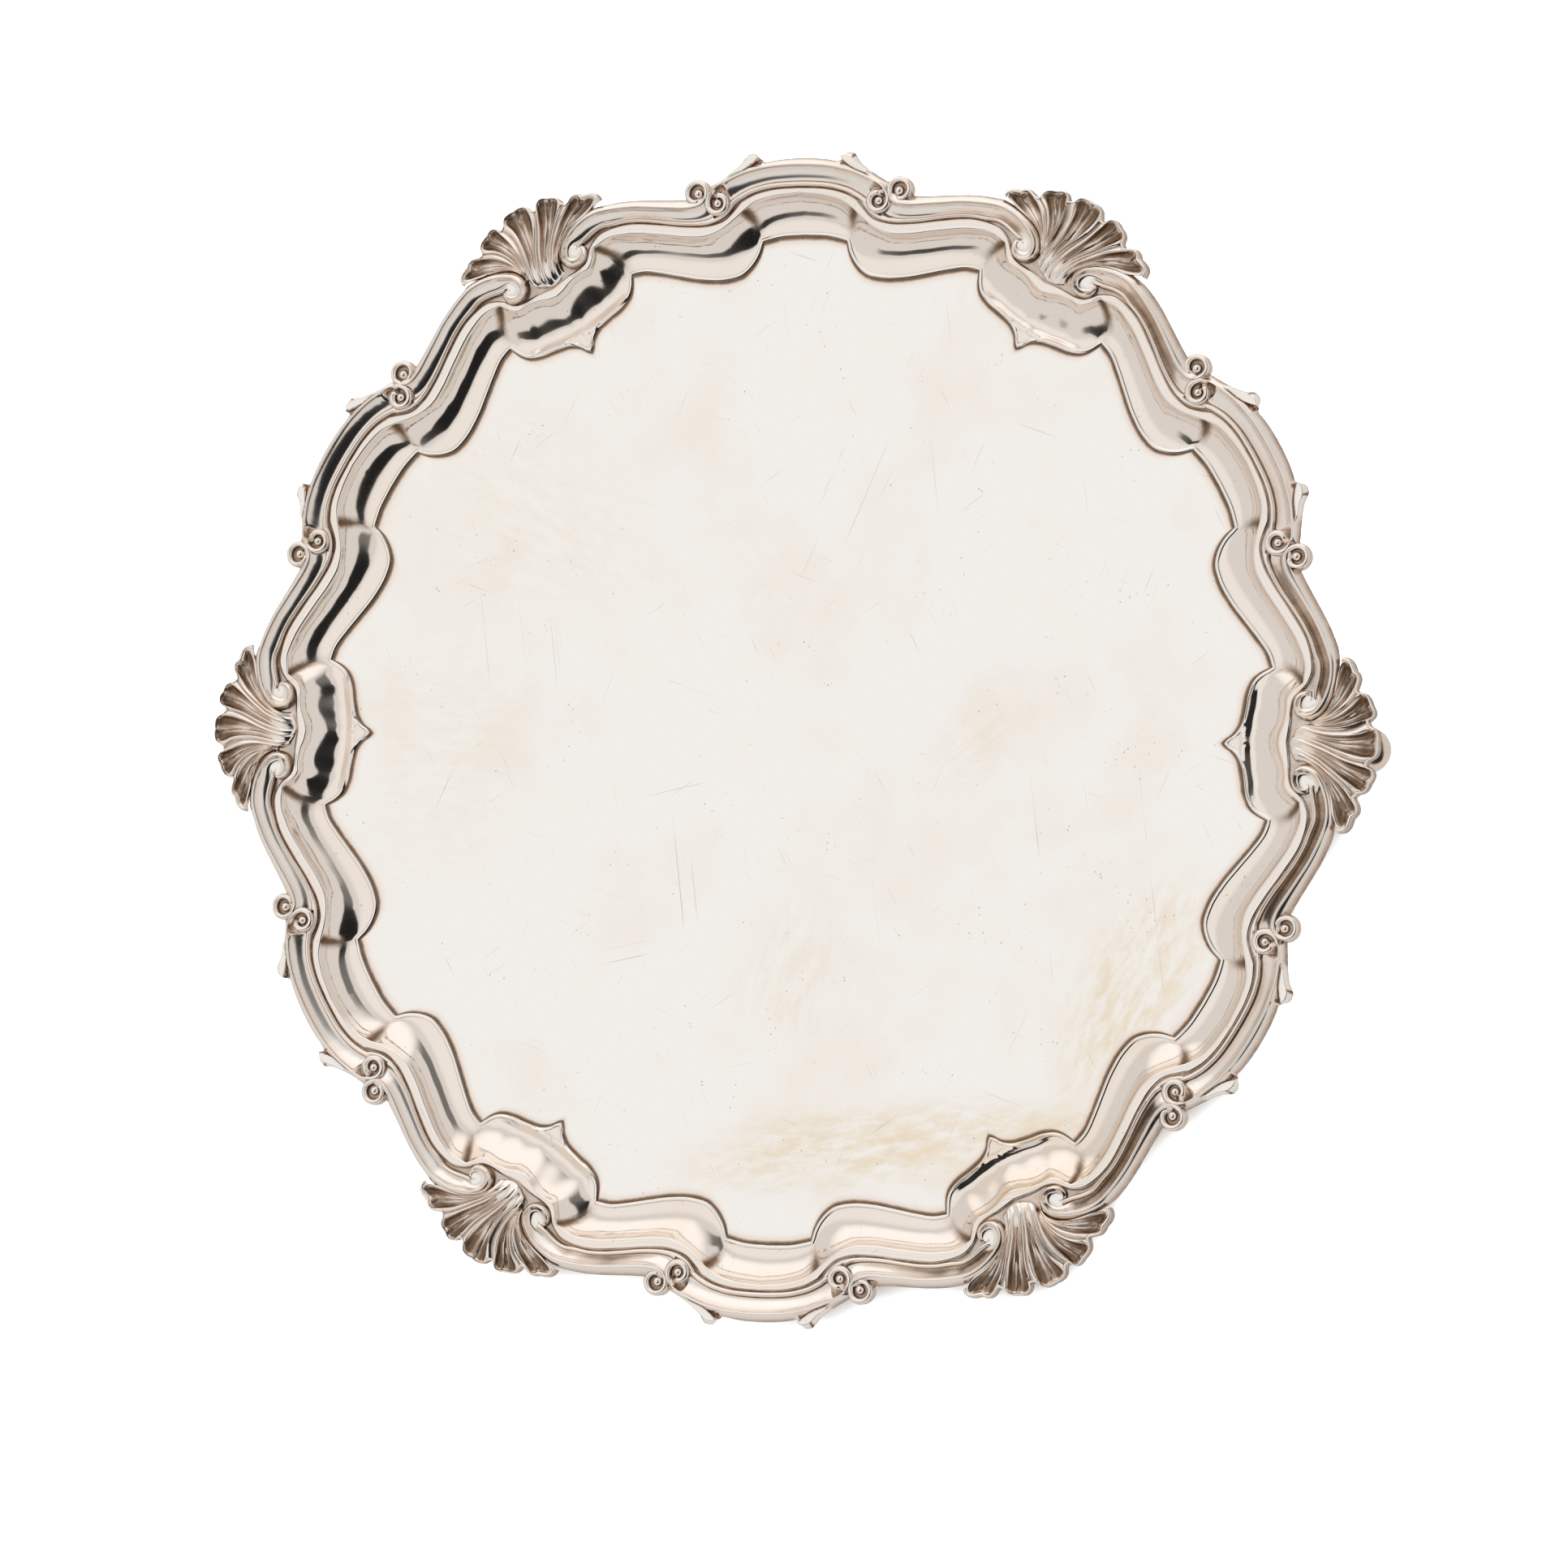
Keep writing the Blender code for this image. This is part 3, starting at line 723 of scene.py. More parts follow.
def volute(body, centre, entry, turns, boss, reach, skirt):
    """A domed ring that winds inwards round a ball."""
    angles = np.radians(np.arange(0, 360, 3))
    wound = (entry - np.degrees(angles)) % 360
    first = value_at(turns, wound)[:, 0]
    limit = np.minimum(first + RING_EDGE, reach)
    ball_rings = np.linspace(0.0002, boss, 12)[:, None] * np.ones(len(angles))
    rho = np.concatenate([ball_rings, boss + (limit - boss) * np.linspace(0.02, 1, 36)[:, None]])
    outside = step(0, 1, (rho - first) / np.maximum(limit - first, 1e-4))
    dome = BOWL - (BOWL - skirt) * outside
    ring = np.zeros_like(rho)
    for total in (wound, wound + 360):
        crest = value_at(turns, total)[:, 0]
        away = (rho - crest) / np.where(rho > crest, RING_OUTSIDE, RING_INSIDE)
        fade = 1 - step(turns[-1][0] - RING_FADE, turns[-1][0], total)
        ring = np.maximum(ring, np.clip(1 - away**2, 0, 1) ** RING_ROUNDNESS * fade)
    height = dome + (REED_CENTRE - dome) * ring
    groove = (1 - step(0.15, 0.6, ring)) * (rho < first)
    stain = 0.64 * groove + (0.03 + 0.4 * outside**2) * (rho >= first)
    ball = BOWL - 0.0005 + BALL_HEIGHT * np.sqrt(np.clip(1 - (rho / boss) ** 2, 0, 1))
    height = np.where(rho < boss, np.maximum(height, ball), height)
    stain = np.where(rho < boss, 0.6 * step(0.8, 1, rho / boss), stain)
    x, y = centre[0] + rho * np.cos(angles), centre[1] + rho * np.sin(angles)
    top = np.stack([x, y, height], axis=-1)
    foot = top[-1:].copy()
    foot[..., 2] = min(BASE, skirt) - 0.001
    stain = np.concatenate([stain, stain[-1:]])
    body.grid(np.concatenate([top, foot]), stain, round_columns=True, caps=True)


BOWL = 0.0428  # height of a volute inside its ring
RING_INSIDE = 0.005  # half widths of the ring, inwards and outwards of its crest
RING_OUTSIDE = 0.0092
RING_EDGE = 0.0062  # from the crest to the volute's wall
RING_FADE = 70  # degrees
RING_ROUNDNESS = 0.6
BALL_HEIGHT = 0.0106
# Each volute: its middle, its crest as (degrees wound from the entry, radius), the entry's angle, and the
# ball's radius, the wall's farthest reach and the height of its foot
OUTER_VOLUTE = polar(18.97, 0.908)
OUTER_TURNS = (
    (0, 0.019), (25, 0.0172), (50, 0.0158), (76, 0.015), (120, 0.0162), (166, 0.0174), (211, 0.018),
    (256, 0.0176), (300, 0.0154), (346, 0.013), (380, 0.0114), (410, 0.0102),
)
OUTER_ENTRY = 197
OUTER_WALL = (0.0084, 0.0245, 0.034)
INNER_VOLUTE = polar(20.96, 0.8858)
INNER_TURNS = (
    (0, 0.0262), (34, 0.0192), (60, 0.017), (112, 0.0155), (202, 0.015), (292, 0.0142), (340, 0.013),
    (376, 0.0116), (410, 0.01),
)
INNER_ENTRY = 22
INNER_WALL = (0.0078, 0.0225, 0.0402)

# Crest, inner side and edge of the scroll, in thousandths of RADIUS: x and y where it curls in beside the
# shell, then degrees and distance from the axis along its run to the outer volute
CURL = (
    (888.5, 73.5, 889.2, 69, 889, 79), (884, 76.5, 888.9, 68, 884.5, 81.5),
    (877.5, 76.8, 888.6, 67.2, 876.5, 81.8), (870, 72, 888.4, 66.8, 866.5, 76.8),
    (865.5, 63, 888.4, 66.6, 860.8, 65.5), (866, 53, 888.6, 66.6, 861.5, 51),
    (871.5, 45.5, 888.8, 66.8, 868, 40), (880, 42.5, 889, 67.2, 879, 34.5), (890, 44, 889.2, 68, 892, 34),
    (900, 49.5, 889.3, 69.5, 905.5, 40.5), (909, 61, 889.1, 72, 916.5, 53.5),
    (916, 75.5, 889, 76.2, 924.5, 69.5), (920.5, 90, 891.5, 86, 929.8, 87), (923, 107, 896, 106, 933, 107),
    (922, 127, 896, 124, 933.5, 129),
)
RUN = (
    (9, 928, 9, 900.5, 9, 941), (10.5, 922.5, 10.5, 896.5, 10.5, 936.5), (12, 916, 12, 889.5, 12, 930),
    (14, 905, 14, 877.5, 14, 920), (16, 895, 16, 865.5, 16, 911), (17, 890.5, 17, 861, 17, 907.5),
    (18, 888, 18, 857.5, 17.7, 906), (19, 889, 18.9, 855.5, 18.4, 906),
    (19.47, 892.7, 19.7, 855, 18.9, 906), (19.76, 898.3, 20.4, 857.5, 19.3, 906),
)
SCROLL_STATIONS = [np.reshape(row, (3, 2)) / 1000 for row in CURL]
SCROLL_STATIONS += [[polar(angle, radius / 1000) for angle, radius in np.reshape(row, (3, 2))] for row in RUN]
# At each station: the edge's height, how far the cup has taken over, and how far the crest has risen
SCROLL_LIPS = [0.041] * 2 + [0.04] * 12 + [0.0385] + [0.03] * 10
SCROLL_CUPS = [1] * 10 + [0.75, 0.3] + [0] * 13
SCROLL_RISES = [0, 0.15, 0.4, 0.75, 0.95] + [1] * 20
BEAD_TAIL = ((19.3, 0.8585), (20.2, 0.8592), (21, 0.8625), (21.7, 0.868), (22.3, 0.876), (22.6, 0.8815))
BEAD_TAIL_HEIGHT = 0.0432
BEAD_TAIL_RADIUS = 0.0032


def build_scrolls():
    body = Body()
    moulding(body, SCROLL_STATIONS, SCROLL_LIPS, SCROLL_CUPS, SCROLL_RISES, 220)
    volute(body, OUTER_VOLUTE, OUTER_ENTRY, OUTER_TURNS, *OUTER_WALL)
    run = smooth([crest for crest, _, _ in SCROLL_STATIONS[:-1]], 230)
    wound = winding(OUTER_VOLUTE, OUTER_ENTRY, OUTER_TURNS)
    path = smooth(np.concatenate([run[40:-3], wound[4:18]]), 300)
    wire(body, path, REED_HEIGHT, REED, taper=0.9)
    tail = smooth([polar(*place) for place in BEAD_TAIL], 40)
    wire(body, tail, BEAD_TAIL_HEIGHT, BEAD_TAIL_RADIUS, tarnish=0.05)
    finish = silver("scroll_silver", haze=0.3, scratch=0.35, polish=0.13, tint=0.2, pits=0.2)
    pieces_round("scroll_left", body.mesh("scroll_left"), finish)
    pieces_round("scroll_right", body.mesh("scroll_right", mirrored=True), finish)


# Degrees, then crest, inner side, edge and the edge's height, in thousandths of RADIUS
ARCH = (
    (20, 904, 898.5, 917, 36), (20.7, 909.2, 900, 921.2, 34), (21.3, 914.5, 900, 925, 32),
    (21.7, 916.7, 893.5, 927.6, 31), (22.05, 918.8, 877, 930.4, 31), (22.6, 922.2, 879, 934.5, 30),
    (23.2, 925.2, 884.5, 940.5, 30), (23.8, 927.8, 888.8, 948, 31), (24.2, 929.3, 891.5, 956, 32),
    (24.5, 930.3, 893.2, 960.4, 34), (24.8, 931.1, 894.6, 961.6, 36), (25.1, 931.8, 895.8, 961.6, 38),
    (25.35, 932.4, 896.7, 959.7, 38), (25.55, 932.9, 897.3, 956.7, 38), (25.75, 933.4, 897.9, 952.6, 37),
    (25.92, 933.8, 898.5, 949, 35), (26.15, 934.2, 899.1, 946.6, 33), (26.6, 935, 900, 947, 30),
    (27.2, 935.8, 900.8, 948.2, 30), (28.2, 936.4, 901.4, 949.5, 30), (30, 937, 901.8, 950.2, 30),
)
ARCH_STATIONS = [(angle, *np.divide(rest, 1000)) for angle, *rest in ARCH]
# Where the leaf's seam lies: (degrees, share of RADIUS)
LEAF_SEAM = (
    (22.2, 0.923), (22.8, 0.9262), (23.4, 0.929), (24, 0.932), (24.5, 0.9352), (25, 0.9398),
    (25.4, 0.9445), (25.8, 0.95), (26.2, 0.954),
)
LEAF_TOP = 0.0508
LEAF_ENDS = (22.0, 22.8, 25.8, 26.3)  # degrees over which the leaf starts and ends
LEAF_FOLD = 24.4
SEAM_WIDTH = 0.001
ARCH_SLOPE = (
    # distance outside the crest, height
    (0, 0.0544), (0.0016, 0.0528), (0.0037, 0.0511), (0.0063, 0.0486), (0.0087, 0.0449), (0.0108, 0.04),
    (0.0123, 0.0355), (0.0132, 0.031),
)


def leaf(place, plan, height, stain):
    """The leaf along the arch's outer side: a seam beside the crest, a rounded blade and its wall."""
    angle = np.degrees(np.arctan2(plan[-1, 1], plan[-1, 0]))
    at = min(angle, 360 / SECTORS - angle)
    recess = (1 - step(21.5, 22.3, at)) * (1 - step(0.7, 0.92, place))
    stain = stain + (0.55 - stain) * recess
    start, whole, narrow, end = LEAF_ENDS
    weight = step(start, whole, at) * (1 - step(narrow, end, at))
    if weight == 0:
        return height, stain
    crest, _, edge, _ = value_at(ARCH_STATIONS, [at])[0]
    seam = value_at(LEAF_SEAM, [at])[0, 0]
    radius = np.hypot(*plan.T)
    slope = np.interp(radius - crest, *np.transpose(ARCH_SLOPE))
    across = np.clip((radius - seam) / max(edge - seam, 1e-4), 0, 1)
    blade = LEAF_TOP - 0.002 * (2 * across - 0.9) ** 2 - 0.012 * step(0.62, 1.0, across) ** 1.5
    onto = step(-0.0002, 0.0016, radius - seam)
    valley = np.exp(-(((radius - seam) / SEAM_WIDTH) ** 2))
    shaped = slope + (blade - slope) * onto - 0.0012 * valley
    fold = np.exp(-(((at - LEAF_FOLD) / 0.13) ** 2)) * step(0.5, 0.8, across)
    # Dark along the seam: dirt with a painted shadow under the blade's edge; painted shade at the fold;
    # darker off the blade and towards its outer edge
    dark = 0.85 * valley + 0.2 * (1 - onto) + 0.3 * step(0.8, 1.0, across) + 0.9 * fold
    on_leaf = weight * (place > 1)
    return height + (shaped - height) * on_leaf, stain + (dark - stain) * on_leaf


def across_arch(points):
    """The same points on the arch's other side."""
    mirror = points.copy()
    mirror[..., 1] *= -1
    return turned(mirror, 360 / SECTORS)


def build_arches():
    both = ARCH_STATIONS + [(360 / SECTORS - angle, *rest) for angle, *rest in ARCH_STATIONS[-2::-1]]
    stations = [[polar(angle, radius) for radius in radii] for angle, *radii, _ in both]
    lips = [station[-1] for station in both]
    cups = [1, 1, 1, 0.9, 0.4] + [0] * (len(both) - 10) + [0.4, 0.9, 1, 1, 1]
    rises = [0.1, 0.7] + [1] * (len(both) - 4) + [0.7, 0.1]
    body, curl = Body(), Body()
    moulding(body, stations, lips, cups, rises, 280, outer=leaf)
    volute(curl, INNER_VOLUTE, INNER_ENTRY, INNER_TURNS, *INNER_WALL)
    body.join(curl, np.copy)
    body.join(curl, across_arch)
    crest = smooth([first for first, _, _ in stations[1:-1]], 240)[2:-2]
    wound = winding(INNER_VOLUTE, INNER_ENTRY, INNER_TURNS)
    path = smooth(np.concatenate([wound[17:3:-1], crest, across_arch(wound)[4:18]]), 420)
    wire(body, path, REED_HEIGHT, REED, taper=0.9)
    finish = silver("arch_silver", haze=0.3, scratch=0.35, polish=0.13, tint=0.2, pits=0.2)
    pieces_round("arch", body.mesh("arch"), finish)


# ---------------- shells

# Flow lines of the shell from its base to its rim, in thousandths of RADIUS: ridges stand proud, and the
# other lines run down the middle of a flute
RIDGES = (0, 2, 3, 5, 6, 8, 9, 11, 12, 14)
FLOW = (
    ((885, 32.5), (897, 36), (910, 45.5), (921, 62), (928.5, 85), (932.5, 105), (938, 127)),
    ((886, 31.8), (900, 35), (915, 44), (930, 62), (942, 86), (950, 105), (954.5, 110)),
    ((887, 31), (898, 32), (910, 36), (920, 40), (930, 46), (940, 53.5), (950, 63), (960.5, 78.5)),
    ((886, 30), (900, 30), (912, 33), (925, 36.5), (935, 41), (945, 47.5), (955, 57), (965.5, 76.5)),
    ((878, 28.5), (890, 28), (905, 27), (920, 28.5), (940, 33.5), (960, 43), (975, 53), (985.5, 57.2)),
    (
        (866, 23.5), (875, 26.2), (885, 26.8), (900, 24), (920, 22), (935, 22.5), (950, 25), (965, 30),
        (979, 36.5),
    ),
    (
        (862, 16.5), (870, 20.5), (880, 21.5), (900, 17), (920, 13), (940, 11.8), (955, 12.5), (965, 15),
        (983, 24.5),
    ),
    (
        (858, 10), (868, 14.5), (880, 13), (900, 7.5), (920, 2.5), (940, -0.5), (960, -1), (980, -1),
        (996.6, -0.5),
    ),
    (
        (855.5, 3), (865, 8), (878, 7.8), (890, 4.5), (900, 1), (915, -4.5), (930, -11), (950, -19.5),
        (965, -24.5), (981, -26.5),
    ),
    (
        (854.5, -2), (864, 2), (876, 1.5), (890, -3), (905, -8.5), (920, -15), (935, -22.5), (950, -29),
        (965, -34), (978, -38.5),
    ),
    (
        (855, -8), (864, -4.5), (876, -6.5), (890, -11.5), (905, -18), (920, -26), (935, -35), (950, -44),
        (965, -51), (985.5, -62),
    ),
    (
        (856, -13), (865, -10.5), (877, -14), (890, -19), (905, -26.5), (920, -37.5), (935, -49),
        (945, -57.5), (955, -66), (968, -76.5),
    ),
    (
        (858, -19), (867, -18), (878, -21), (890, -26), (905, -34), (920, -46), (932, -56), (942, -64.5),
        (951, -74), (958.5, -85),
    ),
    (
        (861, -24.5), (870, -25), (882, -27.5), (895, -34), (908, -43.5), (920, -56), (932, -73),
        (942, -90), (950, -107), (957.5, -112.5),
    ),
    (
        (865, -31), (874, -30.5), (886, -33), (900, -42), (912, -56), (921, -73), (927.5, -95),
        (931, -115), (939, -134),
    ),
)
# The rim's inner side between the ends of neighbouring flow lines
RIM = (
    ((941.5, 129), (945, 128), (948.5, 124.5), (952, 118)),
    ((960, 107), (963, 102.5), (962, 96.5), (959.5, 90), (958.5, 83)),
    ((963, 77.8),),
    ((972, 76.2), (978, 73.8), (981.5, 69), (984, 62.5)),
    ((989, 52.5), (991, 48), (990, 43), (985, 39.5)),
    ((980.5, 30.5),),
    ((990, 20.8), (995.5, 18.8), (997.4, 15), (998.2, 9), (997.9, 3)),
    ((997.9, -4.5), (998.2, -10), (997.4, -16), (995.5, -19.5), (989, -22.5)),
    ((979, -32.5),),
    ((985, -41), (990.5, -45), (992.5, -51), (989.5, -58)),
    ((984, -68), (980.5, -73.5), (976, -75.7)),
    ((963.5, -81),),
    ((961, -93), (965.5, -101), (966.5, -106), (963, -111)),
    ((955, -118), (953, -126.5), (949, -134), (944, -135.8)),
)
SHELL_STEPS = {True: 7, False: 11}  # columns between two ridges, and between a ridge and a flute's middle
SHELL_ROWS = 72
# Heights along the shell: (share of the way from base to rim, height)
RIDGE_RISE = (
    (0, 0.0388), (0.03, 0.043), (0.07, 0.0468), (0.14, 0.0515), (0.28, 0.056), (0.45, 0.0582),
    (0.65, 0.0572), (0.85, 0.0532), (1, 0.0495),
)
FLUTE_RISE = (
    (0, 0.0386), (0.03, 0.0424), (0.07, 0.0456), (0.14, 0.0494), (0.28, 0.052), (0.45, 0.0508),
    (0.65, 0.0466), (0.85, 0.042), (0.95, 0.0415), (1, 0.0462),
)
RIDGE_DIP = 0.003  # between two ridges
RIB_RISE = 0.002
STREAK_RISE = 0.00055
STREAKS = 2.5  # in half a flute
SIDE_RISE = ((0, 0.0385), (0.2, 0.043), (0.5, 0.047), (0.8, 0.049), (1, 0.049))
# The rim: (distance outside its inner side, height, tarnish)
RIM_SECTION = (
    (0.0006, 0.048, 0.3), (0.0014, 0.0491, 0.06), (0.0024, 0.0493, 0.04), (0.0034, 0.0484, 0.28),
    (0.0041, 0.046, 0.5), (0.0045, 0.042, 0.6), (0.0047, 0.037, 0.6), (0.0046, 0.032, 0.6),
    (0.0042, 0.0295, 0.6),
)


def shell_grid():
    """Plan of the shell's mesh, the flow number of each column and the share of the way of each row."""
    rows = np.linspace(0, 1, SHELL_ROWS)
    guides = np.array([smooth(np.divide(line, 1000), SHELL_ROWS) for line in FLOW])
    numbers, ends = [], []
    for i in range(len(FLOW) - 1):
        count = SHELL_STEPS[i in RIDGES and i + 1 in RIDGES]
        numbers.append(i + np.arange(count) / count)
        edge = (FLOW[i][-1], *RIM[i], FLOW[i + 1][-1])
        ends.append(smooth(np.divide(edge, 1000), count + 1)[:-1])
    numbers = np.concatenate(numbers + [[len(FLOW) - 1.0]])
    ends = np.concatenate(ends + [np.divide([FLOW[-1][-1]], 1000)])
    tables = [np.column_stack([np.arange(len(FLOW)), guides[:, j, :]]) for j in range(SHELL_ROWS)]
    plan = np.array([value_at(table, numbers) for table in tables])
    plan = plan + (ends - plan[-1]) * (rows**5)[:, None, None]
    return plan, numbers, rows


def shell_heights(numbers, rows):
    """Height and darkness of the columns: ridges, and flutes with fine streaks and a rib near the rim. The
    flutes' darkness is dirt with painted shade.
    """
    ridge, flute, side = (value_at(rise, rows)[:, 0] for rise in (RIDGE_RISE, FLUTE_RISE, SIDE_RISE))
    height = np.zeros((len(rows), len(numbers)))
    stain = np.zeros_like(height)
    late = step(0.1, 0.42, rows)
    at_rim = step(0.97, 1, rows)
    for j, number in enumerate(numbers):
        low = int(min(number, len(FLOW) - 2))
        t = number - low
        edge_share = max(0.0, 1 - min(number, len(FLOW) - 1 - number))
        crest = ridge * (1 - edge_share) + side * edge_share
        if low in RIDGES and low + 1 in RIDGES:
            dip = math.sin(math.pi * t) ** 2
            height[:, j] = crest - RIDGE_DIP * dip * step(0, 0.3, rows)
            stain[:, j] = 0.55 * dip * late
            continue
        away = t if low in RIDGES else 1 - t
        scoop = step(0, 0.55, away)
        middle = 1 - away
        rib = math.exp(-((middle / 0.13) ** 2)) * step(0.72, 0.9, rows) * (1 - at_rim)
        streak = math.cos(2 * math.pi * STREAKS * middle)
        height[:, j] = crest + (flute - crest) * scoop + RIB_RISE * rib + STREAK_RISE * streak * scoop * late
        # Dirt in the flutes, with painted shade: darker towards the rim end and in a band beside each ridge,
        # cleaner on the rib and at the rim
        dirt_and_shade = (0.12 + (0.2 + 0.2 * streak) * late + 0.52 * step(0.62, 0.95, rows)) * scoop
        dirt_and_shade = dirt_and_shade + 0.42 * math.exp(-(((away - 0.32) / 0.16) ** 2)) * late
        stain[:, j] = dirt_and_shade * (1 - 0.5 * rib) * (1 - 0.7 * at_rim)
    return height, np.clip(stain, 0, 1)


def rim_rows(ends):
    """The raised rim, offset outwards from its inner side, and its wall down to the underside."""
    wide = ends.copy()
    for _ in range(10):
        wide[1:-1] = (wide[:-2] + 2 * wide[1:-1] + wide[2:]) / 4
    along = np.gradient(wide, axis=0)
    normal = np.column_stack([-along[:, 1], along[:, 0]])
    normal /= np.linalg.norm(normal, axis=1, keepdims=True)
    centre = np.array((0.93, 0.0))
    if ((ends - centre) * normal).sum() < 0:
        normal = -normal
    rows, stains = [], []
    across = np.abs(ends[:, 1] - centre[1])
    broad = (1 + 0.9 * step(0.07, 0.13, across))[:, None]
    for offset, height, stain in RIM_SECTION:
        share = min(1.0, offset / 0.003) * 0.6
        base = ends * (1 - share) + wide * share
        rows.append(np.column_stack([base + normal * offset * broad, np.full(len(ends), height)]))
        stains.append(np.full(len(ends), stain))
    return np.array(rows), np.array(stains)


def build_shells():
    plan, numbers, rows = shell_grid()
    height, stain = shell_heights(numbers, rows)
    top = np.concatenate([plan, height[..., None]], axis=-1)
    rim, rim_stain = rim_rows(plan[-1])
    top = np.concatenate([top, rim])
    stain = np.concatenate([stain, rim_stain])
    floor = top[::-1].copy()
    reach = np.hypot(floor[..., 0], floor[..., 1])
    floor[..., 2] = BASE - 0.008 * step(0.945, 0.965, reach)
    floor[..., 2] = np.minimum(floor[..., 2], top[::-1][..., 2] - 0.0004)
    body = Body()
    ring = np.concatenate([top, floor])
    body.grid(ring, np.concatenate([stain, np.full(stain.shape, 0.6)]), round_rows=True)
    rows_top = len(top)
    columns = len(numbers)
    total = 2 * rows_top
    for i in range(rows_top - 1):
        mirror = total - 1 - i
        for column in (0, columns - 1):
            a, b = i * columns + column, (i + 1) * columns + column
            c, d = (mirror - 1) * columns + column, mirror * columns + column
            body.faces.append([a, b, c, d] if column else [d, c, b, a])
    mesh = body.mesh("shell")
    finish = silver("shell_silver", haze=0.35, scratch=0.3, polish=0.14, tint=0.2, pits=0.2)
    pieces_round("shell", mesh, finish)


# ---------------- feet

# (distance from the axis, height above the table, half depth, half width), in millimetres
FOOT_STATIONS = (
    (170, 26.8, 6, 9.5), (170.4, 25, 5.7, 9), (171.2, 22.5, 5.2, 8.2), (173.5, 16.5, 4, 5.8),
    (174.8, 10, 3.4, 4.2), (177.8, 5.8, 4.6, 5), (180.2, 3.4, 6.2, 6.4), (180.5, 1.6, 6.5, 6.7),
    (180.5, 0.4, 6.1, 6.3), (180.5, 0, 5.6, 5.8),
)


def build_feet():
    table = np.array(FOOT_STATIONS) / 1000
    order = np.column_stack([table[:, 1], table[:, 0], table])
    run = smooth(order, 48)[:, 2:]
    turn = np.linspace(0, 2 * math.pi, 40, endpoint=False)
    distance, height, depth, width = run.T
    x = distance[:, None] + depth[:, None] * np.cos(turn)
    y = width[:, None] * np.sin(turn)
    z = np.repeat(height[:, None], len(turn), axis=1) - PLATE_HEIGHT
    body = Body()
    # Darker towards the top, where the foot meets the salver's underside
    stain = 0.3 + 0.5 * step(0.018, 0.026, height)
    body.grid(np.stack([x, y, z], axis=-1) / RADIUS, stain[:, None], round_columns=True, caps=True)
    mesh = body.mesh("foot")
    finish = silver("foot_silver", haze=0.3, scratch=0.3, polish=0.16, tint=0.3, pits=0.2)
    pieces_round("foot", mesh, finish, FEET)


# ---------------- studio

CAMERA_TILT = (-4.3014, -19.2017, -2.21)  # turns about the view's x, y and z axes, in degrees
CAMERA_AWAY = 10.56  # shares of RADIUS
CAMERA_SHIFT = (0.0058, 0.0748)
SENSOR = 36.0
SPAN = 755.08 / 1932  # RADIUS as a share of the picture's width


def build_camera():
    x, y, z = (math.radians(value) for value in CAMERA_TILT)
    view = Matrix.Rotation(x, 3, "X") @ Matrix.Rotation(y, 3, "Y") @ Matrix.Rotation(z, 3, "Z")
    back = view.transposed()
    data = bpy.data.cameras.new("camera")
    data.sensor_width = SENSOR
    data.lens = SPAN * CAMERA_AWAY * SENSOR
    data.clip_end = 20
    made = bpy.data.objects.new("camera", data)
    place = back @ Vector((-CAMERA_SHIFT[0], -CAMERA_SHIFT[1], CAMERA_AWAY)) * RADIUS
    made.matrix_world = Matrix.Translation(place + Vector((0, 0, PLATE_HEIGHT))) @ back.to_4x4()
    bpy.context.scene.collection.objects.link(made)
    bpy.context.scene.camera = made


def build_floor():
    bpy.ops.mesh.primitive_plane_add(size=FLOOR_SIZE, location=(0, 0, 0))
    floor = bpy.context.object
    floor.name = "floor"
    made = bpy.data.materials.new("floor")
    made.use_nodes = True
    look = {"Base Color": FLOOR_COLOUR, "Roughness": 0.9, "Specular IOR Level": 0.1}
    feed(made.node_tree.nodes["Principled BSDF"], look)
    floor.data.materials.append(made)
    floor.visible_glossy = False


# The studio's dark side, which the silver mirrors: (azimuth, from, to, darkness), in degrees, from
# straight up
DARK_SIDE = (
    (-135, 46, 60, 0), (-122, 44, 57, 0.8), (-105, 36, 54, 0.92), (-85, 29, 49, 0.955), (-60, 22, 57, 0.975),
    (-35, 19, 65, 0.98), (-15, 20, 53, 0.975), (8, 23, 47, 0.96), (20, 28, 49, 0.88), (35, 29, 55, 0.76),
    (60, 36, 57, 0.72), (85, 39, 52, 0.55), (110, 40, 50, 0),
)
# Bright panels: (azimuth, degrees from straight up, half width, brightness)
OVERHEAD = (180, 14, 34, 0.95)
SIDE = (100, 84, 48, 1.15)
EDGE = 4  # degrees over which the dark side's limits fade
PANEL_EDGE = 36
SKY = 0.78
FLOOR_LIGHT = 12.0  # a soft sun that the silver doesn't mirror
FLOOR_LIGHT_WIDTH = 48
FLOOR_LIGHT_FROM = (57, 19)
FLOOR_SIZE = 6  # metres
FLOOR_COLOUR = (0.93, 0.93, 0.93, 1)


def towards(azimuth, from_up):
    a, e = math.radians(azimuth), math.radians(from_up)
    return (math.sin(e) * math.cos(a), math.sin(e) * math.sin(a), math.cos(e))


def spot(tree, direction, azimuth, from_up, half_width):
    """1 inside a round patch of the sky, 0 outside it."""
    middle = towards(azimuth, from_up)
    made = node(tree, "ShaderNodeVectorMath", {0: direction, 1: middle}, operation="DOT_PRODUCT")
    inner, outer = (math.cos(math.radians(half_width + side * PANEL_EDGE / 2)) for side in (-1, 1))
    return remap(tree, made.outputs["Value"], outer, inner)


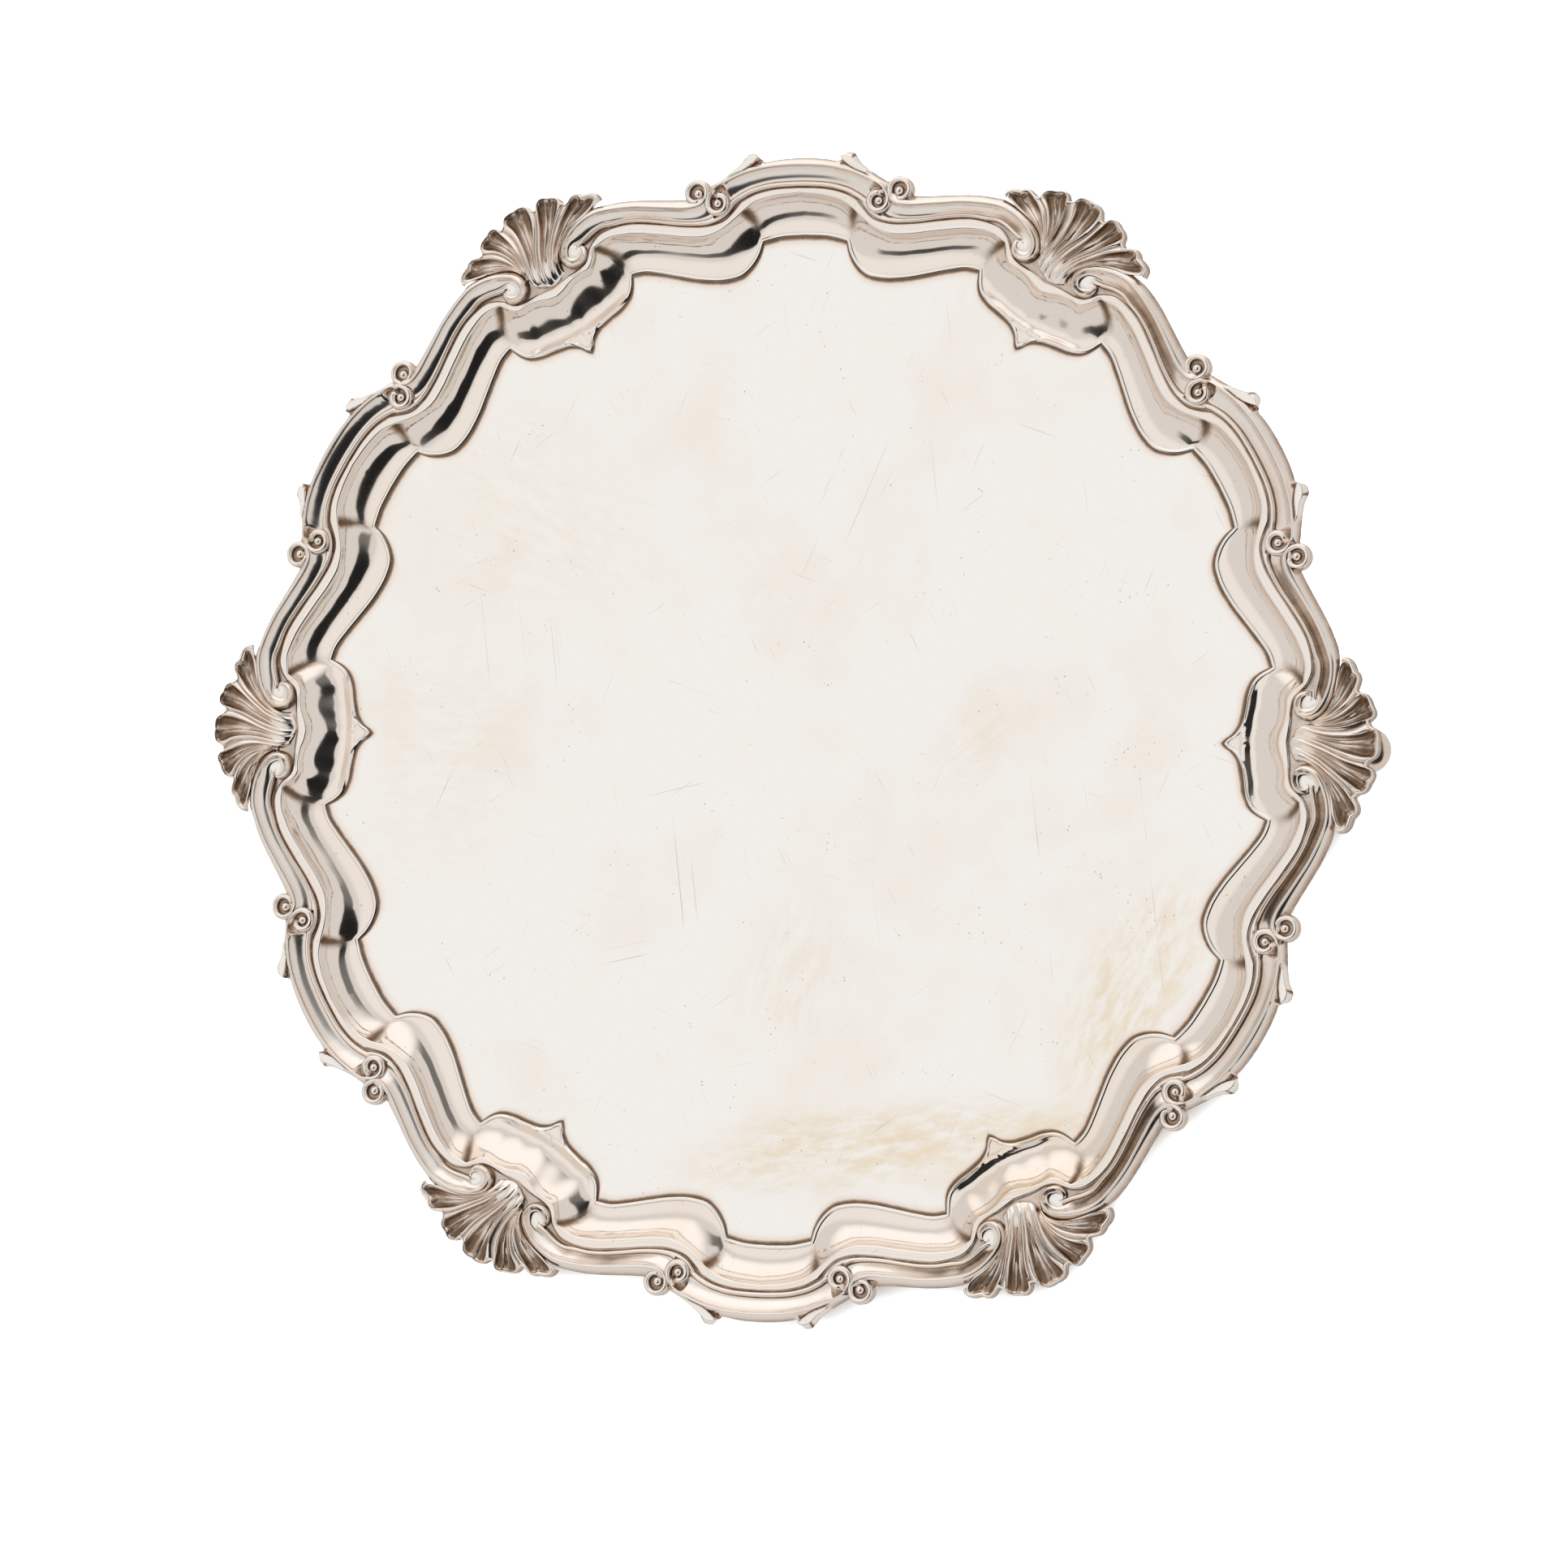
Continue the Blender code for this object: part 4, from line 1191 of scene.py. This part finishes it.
def dark_side(tree, direction):
    """How dark the studio is in each direction: a crescent whose limits change round the compass."""
    split = node(tree, "ShaderNodeSeparateXYZ", {0: direction})
    azimuth = maths(tree, "ARCTAN2", split.outputs["Y"], split.outputs["X"])
    from_up = times(tree, maths(tree, "ARCCOSINE", split.outputs["Z"]), 180 / math.pi)
    share = remap(tree, azimuth, -math.pi, math.pi, kind="LINEAR")
    ramp = node(tree, "ShaderNodeValToRGB", {"Fac": share})
    stops = ramp.color_ramp.elements
    while len(stops) < len(DARK_SIDE):
        stops.new(0.5)
    for stop, (compass, start, end, darkness) in zip(stops, DARK_SIDE):
        stop.position = compass / 360 + 0.5
        stop.color = (start / 90, end / 90, darkness, 1)
    limits = node(tree, "ShaderNodeSeparateColor", {0: ramp.outputs["Color"]})
    start, end = (times(tree, limits.outputs[name], 90) for name in ("Red", "Green"))
    after = remap(tree, maths(tree, "SUBTRACT", from_up, start), -EDGE / 2, EDGE / 2)
    before = remap(tree, maths(tree, "SUBTRACT", end, from_up), -EDGE / 2, EDGE / 2)
    return times(tree, times(tree, after, before), limits.outputs["Blue"])


def build_light():
    world = bpy.data.worlds.new("studio")
    bpy.context.scene.world = world
    world.use_nodes = True
    tree = world.node_tree
    direction = node(tree, "ShaderNodeTexCoord", {}).outputs["Generated"]
    overhead, side = (times(tree, spot(tree, direction, *panel), level) for *panel, level in (OVERHEAD, SIDE))
    level = maths(tree, "MAXIMUM", overhead, SKY)
    level = times(tree, maths(tree, "SUBTRACT", 1.0, dark_side(tree, direction)), level)
    level = maths(tree, "MAXIMUM", level, side)
    feed(tree.nodes["Background"], {"Color": level})
    sun = bpy.data.objects.new("floor_light", bpy.data.lights.new("floor_light", "SUN"))
    sun.data.energy = FLOOR_LIGHT
    sun.data.angle = math.radians(FLOOR_LIGHT_WIDTH)
    sun.rotation_euler = Vector(towards(*FLOOR_LIGHT_FROM)).to_track_quat("Z", "Y").to_euler()
    sun.visible_glossy = False
    bpy.context.scene.collection.objects.link(sun)
    bpy.context.scene.view_settings.view_transform = "Standard"


build_tray()
build_scrolls()
build_arches()
build_shells()
build_feet()
build_floor()
build_light()
build_camera()
